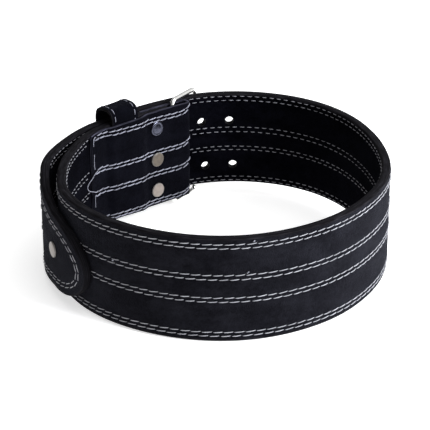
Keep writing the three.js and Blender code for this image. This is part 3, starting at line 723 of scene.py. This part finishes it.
def keeper_path(turns, grow):
    """Upright closed path of the keeper at each turn, grown outwards: over the arch, down the
    inner leg, under the strap and up the outer leg. The arch is an oval: its width goes as the
    cosine, and its rise as the sine, both to the power of 2 over KEEPER_ARCH_POWER. The legs are
    straight, and quarter circles join them under the strap."""
    grow = np.asarray(grow)[:, None]
    point, _, outward = plan_frame(turns)
    tongue = plan_point(turns + 360, HALF + SEAT_GAP)
    outer = ((tongue - point) * outward).sum(-1)[:, None]
    middle, reach = (POCKET_INNER + outer) / 2, (outer - POCKET_INNER) / 2 + grow
    arch = np.radians(np.linspace(0, 180, 37))
    power = 2 / KEEPER_ARCH_POWER
    across = np.sign(np.cos(arch)) * np.abs(np.cos(arch)) ** power
    leg = np.linspace(0, 1, 26)[1:-1]
    bend = np.radians(np.linspace(0, 90, 5))
    foot = KEEPER_FOOT + grow
    foot_top = KEEPER_FOOT - SEAT_GAP
    drop = foot_top - foot * np.sin(bend)
    down = STRAP_HEIGHT + (foot_top - STRAP_HEIGHT) * leg + 0 * grow
    tuck = foot * (1 - np.cos(bend))
    offset = np.concatenate([
        middle + reach * across,
        middle - reach + 0 * leg,
        middle - reach + tuck,
        middle + reach - tuck[:, ::-1],
        middle + reach + 0 * leg,
    ], 1)
    height = np.concatenate([
        STRAP_HEIGHT + (KEEPER_RISE + grow) * np.abs(np.sin(arch)) ** power,
        down, drop, drop[:, ::-1], down[:, ::-1],
    ], 1)
    return upright(point[:, None] + outward[:, None] * offset[..., None], height)


def keeper_grid():
    """Keeper: the flat section of a strip with rounded edges, each of whose points follows the
    path at its own turn and growth. Gives the points, and each row's place along, growth and
    finish."""
    width = np.linspace(-1, 1, 19)
    spread = KEEPER_WIDTH / 2 - KEEPER_EDGE_RADIUS
    bend = np.radians(np.linspace(-90, 90, 7))[1:-1]
    side = spread + KEEPER_EDGE_RADIUS * np.cos(bend)
    thick = KEEPER_THICKNESS / 2 * (1 + np.sin(bend))
    flat = np.zeros(width.shape)
    along = np.concatenate([width * spread, side, -width * spread, -side])
    grow = np.concatenate([flat, thick, flat + KEEPER_THICKNESS, thick[::-1]])
    rim = np.full(thick.shape, EDGE)
    finish = np.concatenate([flat, rim, flat, rim]).astype(int)
    return keeper_path(turn_along(KEEPER_TURN, along), grow), along, grow, finish


def keeper_mesh():
    """The keeper's sections as a closed mesh, with its cut edges in the edge finish."""
    sections, along, _, finish = keeper_grid()
    grid = sections.transpose(1, 0, 2)
    path = np.linspace(0, KEEPER_LENGTH * MM, len(grid))
    skin = Skin().grid(grid, path[:, None], along * MM, loop=True, finish=finish)
    return skin.mesh("keeper")


def frame_mesh():
    """Buckle frame: a circle of the wire's radius carried round a rectangle with round corners."""
    corners = [
        (FRAME_LENGTH - FRAME_CORNER, FRAME_TOP - FRAME_CORNER),
        (FRAME_CORNER, FRAME_TOP - FRAME_CORNER),
        (FRAME_CORNER, FRAME_BOTTOM + FRAME_CORNER),
        (FRAME_LENGTH - FRAME_CORNER, FRAME_BOTTOM + FRAME_CORNER),
    ]
    bend = np.radians(np.linspace(0, 90, 13))
    centres, outs = [], []
    for quarter, (along, height) in enumerate(corners):
        out = np.stack([np.cos(bend + quarter * np.pi / 2), np.sin(bend + quarter * np.pi / 2)], -1)
        centres.append(np.array([along, height]) + FRAME_CORNER * out)
        outs.append(out)
    centre, out = np.concatenate(centres), np.concatenate(outs)
    around = circle(WIRE_SIDES)
    flat = centre[:, None] + WIRE_RADIUS * np.cos(around)[None, :, None] * out[:, None]
    face = np.array([FRAME_ALONG[1], -FRAME_ALONG[0]])
    plan = (BAR_POINT + FRAME_ALONG * flat[..., :1]
            + face * (WIRE_RADIUS * np.sin(around))[None, :, None])
    skin = Skin().grid(upright(plan, flat[..., 1]), centre[:, :1] * MM, around, loop=True)
    return skin.mesh("frame")


def rivet_mesh(name, turn, height, seat, shank, sign, cup=0.0):
    """Rivet: a profile turned about the strap's normal. The head's seat lies at the seat's
    offset, and the head points outward for sign 1 and into the loop for -1. cup sinks the
    head's middle inside a raised rim."""
    dome = np.radians(np.linspace(0, 90, 9))
    head = RIVET_HEAD_RADIUS
    crown = np.linspace(RIVET_CROWN_SHARE, 0.0, 9)
    rim_out = head - RIVET_RIM_ROUNDING * (1 - np.cos(dome))
    rim_up = RIVET_RIM_BASE + RIVET_RIM_RISE * np.sin(dome)
    crown_up = rim_up[-1] + (RIVET_HEAD_RISE - rim_up[-1]) * (1 - (crown / RIVET_CROWN_SPREAD) ** 2)
    crown_up = crown_up - cup * smooth(RIVET_CROWN_SHARE - crown, *RIVET_CUP_SLOPE)
    radius = np.concatenate([
        [0, RIVET_BACK_RADIUS, RIVET_BACK_RADIUS, RIVET_SHANK_RADIUS, RIVET_SHANK_RADIUS, head],
        rim_out, head * crown])
    up = np.concatenate([
        [-shank - RIVET_BACK_THICKNESS, -shank - RIVET_BACK_THICKNESS, -shank, -shank, 0, 0],
        rim_up, crown_up])
    point, forward, outward = plan_frame(turn)
    around = circle(RIVET_SIDES)
    along = radius[:, None] * np.cos(around)
    rise = radius[:, None] * np.sin(around)
    offset = np.broadcast_to((seat + sign * up)[:, None], along.shape)
    plan = point + forward * along[..., None] + outward * offset[..., None]
    grid = upright(plan, height + rise)
    share = np.broadcast_to((radius / head)[:, None], along.shape)
    return Skin().grid(grid, share, around / (2 * np.pi), capped=False).mesh(name)


# Rings of one stitch: place along its half length, share of the thread's radius, and height of
# its middle over the leather in thread radii
STITCH_RINGS = np.array([
    (-1.0, 0.40, -0.90), (-0.84, 0.85, -0.25), (-0.45, 1.0, 0.28), (0.0, 1.03, 0.42),
    (0.45, 1.0, 0.28), (0.84, 0.85, -0.25), (1.0, 0.40, -0.90),
])


def stitch_row(skin, path, surface, pitch, stitch, slant, phase, seed, radius=THREAD_RADIUS):
    """Stitches along a path of (length, height) pairs, one every pitch. Each is a thread section
    carried over a low arch that dips into the leather at both ends, turned by a slant, with a
    little scatter in place, turn and length. surface(length, height, lift) gives the points."""
    gone = lengths_of(path)
    centres = np.arange(phase + stitch / 2, gone[-1] - stitch / 2, pitch)
    rng = np.random.default_rng(seed)
    centres = centres + rng.uniform(-PLACE_SCATTER, PLACE_SCATTER, len(centres))
    middle = read_along(gone, path, centres)
    ahead = read_along(gone, path, centres + 0.5)
    heading = np.arctan2(*(ahead - middle)[:, ::-1].T) + np.radians(slant)
    heading = heading + rng.uniform(-TURN_SCATTER, TURN_SCATTER, len(centres))
    half = stitch / 2 * rng.uniform(*LENGTH_SCATTER, len(centres))
    around = circle(STITCH_SIDES)
    along = STITCH_RINGS[:, 0] * half[:, None]
    thread = STITCH_RINGS[:, 1] * radius
    across = thread[:, None] * np.cos(around)
    lift = (STITCH_RINGS[:, 2] * radius)[:, None] + thread[:, None] * np.sin(around)
    cos, sin = np.cos(heading)[:, None, None], np.sin(heading)[:, None, None]
    length = middle[:, :1, None] + along[..., None] * cos - across * sin
    height = middle[:, 1:, None] + along[..., None] * sin + across * cos
    lift = np.broadcast_to(lift, length.shape)
    grid = surface(length, height, lift)
    turns = np.arange(len(centres))[:, None, None] + STITCH_RINGS[:, 0][:, None] * 0.5
    skin.grid(grid, np.broadcast_to(turns, length.shape), around / (2 * np.pi))


def on_outer(length, height, lift):
    """Point over the strap's outer face."""
    return upright(plan_point(turn_at(length), HALF + lift), height)


def on_inner(length, height, lift):
    """Point over the strap's inner face."""
    return upright(plan_point(turn_at(length), -HALF - lift), height)


def on_flap(length, height, lift):
    """Point over the flap's face, with length measured along the centre line. Short of the fold
    it goes round the half circle: its angle is the missing length over the fold's radius."""
    turn = turn_at(length)
    flat = plan_point(turn, flap_offset(turn) - lift)
    _, forward, outward = plan_frame(FOLD_TURN)
    fold_radius = (POCKET_OUTER - POCKET_INNER) / 2 + WRAP_THICKNESS
    angle = np.clip((length_at(FOLD_TURN) - length) / fold_radius, 0, np.pi)[..., None]
    away = -outward * np.cos(angle) - forward * np.sin(angle)
    bent = plan_point(FOLD_TURN, POCKET_MIDDLE) + away * (fold_radius + lift)[..., None]
    return upright(np.where(angle > 0, bent, flat), height)


def straight(start, end, height):
    """Path at one height between two lengths."""
    return [(start, height), (end, height)]


def tongue_outline(inset):
    """Path round the tongue's end at an inset from its outline: the upper edge forwards, round
    the nose, and the lower edge backwards. Each point moves along the outline's normal, further
    towards the nose."""
    swing = np.radians(np.linspace(0, 90, 46))
    nose = TIP_LENGTH - NOSE_LENGTH
    lengths = np.concatenate([np.linspace(nose - TAPER_LENGTH, nose, 12)[:-1],
                              nose + NOSE_LENGTH * np.sin(swing)])
    low, high = edges_near_tip(TIP_LENGTH - lengths)
    outline = np.concatenate([np.stack([lengths, high], -1), np.stack([lengths, low], -1)[::-1]])
    tangent = unit(np.gradient(outline, axis=0))
    deeper = inset + TONGUE_EXTRA_INSET * smooth(outline[:, :1], nose - TAPER_LENGTH, nose)
    return outline + deeper * rightward(tangent)


def outer_stitches():
    """The strap's outer seams. The top pair runs on round the tongue's end and comes back along
    the lower edge. The middle pairs are straight."""
    skin = Skin()
    start = length_at(FOLD_TURN + OUTER_SEAM_START_ANGLE)
    for row, height in enumerate(OUTER_ROWS[:6]):
        path = straight(start, TIP_LENGTH - MIDDLE_SEAM_END, height)
        if row < 2:
            inset = STRAP_HEIGHT - height
            path = np.concatenate([path[:1], tongue_outline(inset), [(start, inset)]])
        stitch_row(skin, path, on_outer, OUTER_PITCH, OUTER_STITCH, OUTER_SLANT,
                   OUTER_PITCH / 2 * (row % 2), seed=row)
    return skin.mesh("outer_stitches")


def inner_stitches():
    """The strap's inner seams, from the flap's free end to the tongue's taper."""
    skin = Skin()
    start = length_at(FLAP_END_TURN) + INNER_SEAM_START
    for row, height in enumerate(INNER_ROWS):
        end = TIP_LENGTH - (TIP_REACH if row in (0, 1, 6, 7) else MIDDLE_SEAM_END)
        stitch_row(skin, straight(start, end, height), on_inner, INNER_PITCH, INNER_STITCH, 0.0,
                   INNER_PITCH / 2 * (row % 2), seed=20 + row)
    return skin.mesh("inner_stitches")


def flap_stitches():
    """The flap's seams, which sag near the fold and rise towards its free end."""
    skin = Skin()
    start = length_at(FOLD_TURN) - FLAP_SEAM_ENDS[0]
    end = length_at(FLAP_END_TURN) - FLAP_SEAM_ENDS[1]
    lengths = np.linspace(start, end, 90)
    rise = np.interp(turn_at(lengths), FLAP_SAG[:, 0], FLAP_SAG[:, 1])
    for row, height in enumerate(FLAP_ROWS):
        path = np.stack([lengths, height + rise], -1)
        stitch_row(skin, path, on_flap, OUTER_PITCH, FLAP_STITCH, FLAP_SLANT,
                   OUTER_PITCH / 2 * (row % 2), seed=40 + row, radius=FLAP_THREAD_RADIUS)
    return skin.mesh("flap_stitches")


def keeper_stitches():
    """One row of stitches round the keeper along each of its edges. A point over the keeper is
    the row's line at a length, moved sideways by a height and outward by a lift."""
    skin = Skin()
    sections, along, grow, _ = keeper_grid()
    outer = grow == KEEPER_THICKNESS
    order = np.argsort(along[outer])
    outside, places = sections[outer][order], along[outer][order]
    ring = np.append(np.arange(outside.shape[1]), 0)
    for edge in (-1, 1):
        column = np.abs(places - edge * (KEEPER_WIDTH / 2 - KEEPER_SEAM_INSET)).argmin()
        line = outside[column][ring]
        beside = unit(outside[column + 1] - outside[column - 1])[ring]
        normal = unit(np.cross(unit(np.gradient(line, axis=0)), beside))
        normal *= np.sign(((line - line.mean(0)) * normal).sum())
        gone = lengths_of(line)

        def over(length, height, lift):
            """Point over the keeper's outside."""
            spot, sideways, outward = (
                read_along(gone, table, length) for table in (line, beside, normal))
            return spot + sideways * height[..., None] + outward * lift[..., None]

        stitch_row(skin, straight(0, gone[-1], 0), over, KEEPER_PITCH, KEEPER_STITCH, 0.0,
                   KEEPER_PHASE, seed=60 + edge)
    return skin.mesh("keeper_stitches")


def strand(skin, points, radius, steps=60):
    """A loose thread: a circle carried along a smooth line through given points."""
    line = smooth_line(np.array(points, float), steps)
    tangent = unit(np.gradient(line, axis=0))
    side = unit(np.cross(tangent, (0.31, 0.2, 0.93)))
    other = np.cross(tangent, side)
    around = circle(STRAND_SIDES)[:, None]
    turned = side[:, None] * np.cos(around) + other[:, None] * np.sin(around)
    rings = line[:, None] + radius * turned
    gone = np.linspace(0, 1, steps)[:, None] * 6
    skin.grid(rings, gone, around[:, 0] / (2 * np.pi))


def flap_spot(from_end, height, lift):
    """Point over the flap at a length short of its free end."""
    length = np.array(length_at(FLAP_END_TURN) - from_end)
    return on_flap(length, np.array(float(height)), np.array(float(lift)))


def loose_threads():
    """Thread ends: a slack loop at the flap's free end between its second and third seams, tails
    at its cut edge, and three nubs on the strap's front."""
    skin = Skin()
    for radius, spots in FLAP_THREADS:
        strand(skin, [flap_spot(*spot) for spot in spots], radius)
    for turn, height, lean in NUBS:
        length = np.array(length_at(turn))
        spots = [(0, 0, -0.2), (0.5, 0.7, 0.6), (1.0, 1.2 + lean / 4, 0.8), (1.5, lean / 2, 0.3)]
        strand(skin, [on_outer(length + a, np.array(height + b), np.array(c)) for a, b, c in spots],
               NUB_RADIUS, steps=16)
    return skin.mesh("loose_threads")


class Value:
    """A shader socket that takes part in arithmetic. Each operator adds its Math node."""

    def __init__(self, nodes, socket):
        self.nodes, self.socket = nodes, socket

    def maths(self, operation, *others):
        """One Math node of this value and others."""
        inputs = dict(enumerate((self,) + others))
        return self.nodes.add("ShaderNodeMath", "Value", {"operation": operation}, inputs)

    def __add__(self, other):
        return self.maths("ADD", other)

    def __mul__(self, other):
        return self.maths("MULTIPLY", other)

    def __sub__(self, other):
        return self.maths("SUBTRACT", other)

    def __rsub__(self, other):
        return (self * -1) + other

    def clamp(self):
        """This value held between 0 and 1."""
        return self.maths("MAXIMUM", 0.0).maths("MINIMUM", 1.0)

    def band(self, low, high):
        """Goes from 0 at low to 1 at high."""
        return ((self - low) * (1 / (high - low))).clamp()

    __radd__ = __add__
    __rmul__ = __mul__


class Nodes:
    """A node tree, with the method that adds to it."""

    def __init__(self, tree):
        self.tree = tree

    def add(self, kind, output, settings=None, inputs=None):
        """A node of a type: its settings first, then the values or links of its sockets."""
        node = self.tree.nodes.new(kind)
        for name, value in (settings or {}).items():
            setattr(node, name, value)
        for name, value in (inputs or {}).items():
            self.join(node.inputs[name], value)
        return Value(self, node.outputs[output])

    def join(self, socket, value):
        """Links a value to a socket, or sets it there."""
        if isinstance(value, Value):
            self.tree.links.new(value.socket, socket)
        else:
            socket.default_value = value


class Finish(Nodes):
    """A material with one Principled shader, and the patterns that its finishes share."""

    def __init__(self, name, **settings):
        self.material = bpy.data.materials.new(name)
        self.material.use_nodes = True
        super().__init__(self.material.node_tree)
        self.feed(**settings)

    def feed(self, **inputs):
        """Sets or links the shader's sockets."""
        for name, value in inputs.items():
            self.join(self.tree.nodes["Principled BSDF"].inputs[name.replace("_", " ")], value)

    def place(self, scale=(1, 1, 1)):
        """Object coordinates, stretched."""
        where = self.add("ShaderNodeTexCoord", "Object")
        return self.add("ShaderNodeMapping", "Vector", {}, {"Vector": where, "Scale": scale})

    def flat(self, part):
        """One part of the piece's own UV map."""
        where = self.add("ShaderNodeUVMap", "UV", {"uv_map": "UVMap"})
        return self.add("ShaderNodeSeparateXYZ", part, {}, {"Vector": where})

    def noise(self, where, scale, detail=4.0, roughness=0.55):
        """Soft noise, from 0 to 1."""
        inputs = {"Vector": where, "Scale": scale, "Detail": detail, "Roughness": roughness}
        return self.add("ShaderNodeTexNoise", "Fac", {}, inputs)

    def mix(self, factor, first, second):
        """A colour between two others."""
        settings = {"data_type": "RGBA"}
        return self.add("ShaderNodeMix", 2, settings, {0: factor, 6: first, 7: second})

    def done(self, colour, roughness, height, distance, strength):
        """Feeds colour, roughness and small relief from a height in metres. Gives the material."""
        inputs = {"Height": height, "Distance": distance, "Strength": strength}
        relief = self.add("ShaderNodeBump", "Normal", {}, inputs)
        self.feed(Base_Color=colour, Roughness=roughness, Normal=relief)
        return self.material


def suede(name, dark, light, sheen=0.05, shine=0.1):
    """Suede: a short nap in clumps, brushed in patches that lie lighter or darker."""
    finish = Finish(name, Sheen_Weight=sheen, Sheen_Roughness=0.45, IOR=1 + shine,
                    Sheen_Tint=(0.75, 0.78, 1.0, 1.0))
    where = finish.place()
    nap = finish.noise(where, 950.0, 3.0, 0.75)
    clumps = finish.noise(where, 240.0, 4.0, 0.65)
    brushed = finish.noise(finish.place((1, 1, 1.8)), 26.0, 5.0, 0.62)
    tone = (brushed.band(0.44, 0.62) * 0.5 + clumps.band(0.38, 0.62) * 0.3
            + nap.band(0.38, 0.64) * 0.35)
    colour = finish.mix(tone.clamp(), dark, light)
    roughness = 1.0 - brushed.band(0.4, 0.8) * 0.16
    return finish.done(colour, roughness, nap + clumps * 0.9, 0.001, 0.8)


def cut_edge(name, dark, light):
    """Cut leather edge: dyed, with paler fibres that run along it. A pale line lies between two
    plies where V is the distance through the leather, as on strap and wrap."""
    finish = Finish(name, IOR=1.12)
    along, across = finish.flat("X"), finish.flat("Y")
    stretched = finish.add(
        "ShaderNodeCombineXYZ", "Vector", {}, {"X": along * 60.0, "Y": across * 900.0})
    fibres = finish.noise(stretched, 1.0, 5.0, 0.65)
    worn = finish.noise(finish.place(), 45.0, 4.0, 0.6)
    ply = 1.0 - ((across - 0.0004) * (1 / 0.0006)).maths("ABSOLUTE").clamp()
    pale = fibres.band(0.45, 0.72) * (worn.band(0.3, 0.7) * 0.7 + 0.3)
    tone = pale + ply * worn.band(0.35, 0.6) * 0.5
    colour = finish.mix(tone.clamp(), dark, light)
    roughness = 0.75 - fibres.band(0.4, 0.7) * 0.2
    return finish.done(colour, roughness, fibres * 0.8 + worn * 0.4, 0.0006, 0.6)


def thread(name, dark, light):
    """Waxed thread: three plies that wind round it, and slow changes of tone."""
    finish = Finish(name, Specular_IOR_Level=0.3, Sheen_Weight=0.2)
    wound = finish.flat("X") * 25.0 + finish.flat("Y") * 18.85
    plies = wound.maths("SINE") * 0.5 + 0.5
    slow = finish.noise(finish.place(), 90.0, 3.0)
    tone = plies * 0.45 + slow.band(0.3, 0.7) * 0.55
    colour = finish.mix(tone.clamp(), dark, light)
    return finish.done(colour, 0.85 - plies * 0.15, plies, 0.00018, 0.6)


def plated_steel(name, colour, worn):
    """Plated steel: fine draw marks, and duller patches."""
    finish = Finish(name, Metallic=1.0)
    patches = finish.noise(finish.place(), 120.0, 4.0)
    marks = finish.noise(finish.place((1, 1, 12)), 700.0, 3.0)
    tone = patches.band(0.45, 0.75)
    roughness = tone * 0.16 + marks * 0.12 + 0.1
    return finish.done(finish.mix(tone, colour, worn), roughness, marks, 0.00005, 0.4)


def enamel(name, colour, shade, rim):
    """Enamel over steel: slightly uneven, and worn grey towards the rim. U is the share of the
    head's radius."""
    finish = Finish(name, Coat_Weight=0.35, Coat_Roughness=0.2)
    where = finish.place()
    cloud = finish.noise(where, 260.0, 4.0)
    spots = finish.noise(where, 900.0, 3.0).band(0.56, 0.7)
    edge = (finish.flat("X") + cloud * 0.16 - 0.08).band(0.82, 0.98)
    body = finish.mix((cloud.band(0.35, 0.7) * 0.7 + spots * 0.3).clamp(), colour, shade)
    height = cloud + spots * 0.5
    return finish.done(finish.mix(edge, body, rim), cloud * 0.2 + 0.3, height, 0.00015, 0.5)


def dress():
    """Makes every piece and its finish."""
    nap = suede("black_suede", (0.0011, 0.001, 0.0017, 1), (0.0076, 0.0076, 0.0104, 1))
    # A darker copy of the suede, with less sheen and gloss, for the wrap and keeper: painted shade,
    # as for the flap inside the loop
    nap_shaded = suede("black_suede_shaded", (0.001, 0.001, 0.0018, 1), (0.0033, 0.0034, 0.0058, 1),
                     0.02, 0.06)
    # The darkest copy of the suede, with almost no sheen or gloss, for the strap's side that looks
    # into the loop: painted shade
    nap_deep_shade = suede("black_suede_deep_shade", (0.0004, 0.0004, 0.0007, 1), (0.0026, 0.0026, 0.0044, 1),
                   0.01, 0.02)
    edge = cut_edge("cut_edge", (0.0035, 0.0032, 0.0042, 1), (0.022, 0.021, 0.026, 1))
    flap_edge = cut_edge("flap_edge", (0.01, 0.01, 0.015, 1), (0.09, 0.09, 0.13, 1))
    pale = thread("pale_thread", (0.12, 0.12, 0.145, 1), (0.35, 0.355, 0.43, 1))
    grey = thread("grey_thread", (0.17, 0.17, 0.185, 1), (0.46, 0.46, 0.5, 1))
    # A dimmer copy of the thread for the seams on the strap's inside: painted shade
    shaded_thread = thread("painted_shade_thread", (0.09, 0.09, 0.1, 1), (0.26, 0.26, 0.29, 1))
    steel = plated_steel("plated_steel", (0.95, 0.95, 0.93, 1), (0.78, 0.77, 0.75, 1))
    # Steel darkened to a dark bluish grey for the upper rivet, whose head faces into the loop:
    # painted shade
    steel_shaded = plated_steel("painted_shade_steel", (0.14, 0.145, 0.195, 1), (0.09, 0.095, 0.13, 1))
    beige = enamel("beige_enamel", (0.095, 0.074, 0.053, 1), (0.035, 0.023, 0.018, 1),
                   (0.11, 0.1, 0.09, 1))
    cream = enamel("cream_enamel", (0.24, 0.2, 0.175, 1), (0.17, 0.135, 0.115, 1),
                   (0.17, 0.155, 0.145, 1))

    show("strap", strap_mesh(), (nap, edge, nap_deep_shade), "black_suede", "belt_strap")
    # The wrap and keeper take the darker suede copy: painted shade
    show("wrap", wrap_mesh(), (nap_shaded, flap_edge), "black_suede", "buckle_wrap")
    show("keeper_loop", keeper_mesh(), (nap_shaded, edge), "black_suede", "keeper")
    show("frame", frame_mesh(), (steel,), "bright_steel", "buckle_frame")
    for name, (height, shift) in HOLE_ROWS.items():
        rings, gone, around = prong_rings(height, shift, PRONG_STEPS, PRONG_SIDES)
        skin = Skin().grid(rings, gone[:, None] * MM, around)
        show(f"{name}_prong", skin.mesh(f"{name}_prong"), (steel,), "bright_steel", f"prong_{name}")
    seat = WRAP_THICKNESS + SEAT_GAP - POCKET_INNER
    for name, height in FLAP_RIVETS.items():
        # The upper rivet takes the darkened steel: painted shade
        finish = {"upper": steel_shaded, "middle": beige, "lower": cream}[name]
        slot = "bright_steel" if name == "upper" else "cream_enamel"
        mesh = rivet_mesh(f"{name}_rivet", RIVET_TURN, height, -seat, seat + HALF + SEAT_GAP, -1,
                          cup=RIVET_CUP_DEPTH if name == "upper" else 0.0)
        show(f"{name}_rivet", mesh, (finish,), slot, f"flap_rivet_{name}")
    mesh = rivet_mesh("end_rivet", turn_along(TIP_TURN, -TIP_RIVET_FROM_TIP), TIP_RIVET_HEIGHT,
                      HALF + SEAT_GAP, STRAP_THICKNESS - RIVET_BACK_THICKNESS, 1)
    show("end_rivet", mesh, (cream,), "cream_enamel", "tip_rivet")
    # The inner seams take the dimmer thread copy: painted shade
    for make, finish in ((outer_stitches, grey), (inner_stitches, shaded_thread), (flap_stitches, pale),
                         (keeper_stitches, pale), (loose_threads, pale)):
        mesh = make()
        show(mesh.name, mesh, (finish,), "black_suede")


def set_stage():
    """Pale floor, just under the belt."""
    mesh = bpy.data.meshes.new("floor")
    level = CAD_BOX[0][2] - FLOOR_DROP
    corners = [(x * FLOOR_REACH, y * FLOOR_REACH, level) for x, y in
               ((-1, -1), (1, -1), (1, 1), (-1, 1))]
    mesh.from_pydata(corners, [], [(0, 1, 2, 3)])
    floor = link("floor", mesh)
    paint = Finish("floor_paint", Roughness=0.9, Base_Color=(0.93, 0.93, 0.93, 1),
                   Emission_Color=(1, 1, 1, 1), Emission_Strength=0.6)
    mesh.materials.append(paint.material)


def area_light(name, position, size, power, colour=(1, 1, 1)):
    """A square soft light aimed at the belt."""
    light = bpy.data.lights.new(name, "AREA")
    light.size = size
    light.energy = power
    light.color = colour
    lamp = link(name, light)
    lamp.location = position
    aim = Vector((0, 0, 0.05)) - Vector(position)
    lamp.rotation_euler = aim.to_track_quat("-Z", "Y").to_euler()


def light_room():
    """A white surround, brighter towards the right, a large light over the belt, and one from
    the right."""
    world = bpy.data.worlds.new("room")
    world.use_nodes = True
    nodes = Nodes(world.node_tree)
    direction = nodes.add("ShaderNodeTexCoord", "Generated")
    toward_right = nodes.add("ShaderNodeSeparateXYZ", "X", {}, {"Vector": direction})
    background = world.node_tree.nodes["Background"]
    nodes.join(background.inputs["Color"], (1, 1, 1, 1))
    seen = nodes.add("ShaderNodeLightPath", "Is Camera Ray")
    glow = (toward_right + 1.0) * 0.475
    nodes.join(background.inputs["Strength"], seen.maths("MAXIMUM", glow))
    bpy.context.scene.world = world
    area_light("top_light", (0.3, -0.3, 1.6), 1.4, 8)
    area_light("right_light", (1.5, -0.8, 0.75), 0.8, 60, (0.93, 0.96, 1.0))
    bpy.context.scene.view_settings.view_transform = "Standard"


def set_camera():
    """The photograph's view: at a distance from a point in the belt's frame, at an elevation
    over the strap's own level, looking along its +Y."""
    data = bpy.data.cameras.new("camera")
    data.sensor_width = SENSOR_WIDTH
    data.lens = FOCAL_PIXELS / IMAGE_WIDTH * SENSOR_WIDTH
    camera = link("camera", data)
    rise = np.radians(CAMERA_ELEVATION)
    back = Vector((0, -np.cos(rise), np.sin(rise)))
    right = Vector((1, 0, 0))
    axes = Matrix((right, back.cross(right), back)).transposed()
    aim = Vector(CAMERA_AIM) + back * CAMERA_DISTANCE
    turned = (ROTATION @ axes).to_4x4()
    camera.matrix_world = Matrix.Translation(ROTATION @ aim * MM + SHIFT) @ turned
    bpy.context.scene.camera = camera


set_camera()
dress()
set_stage()
light_room()
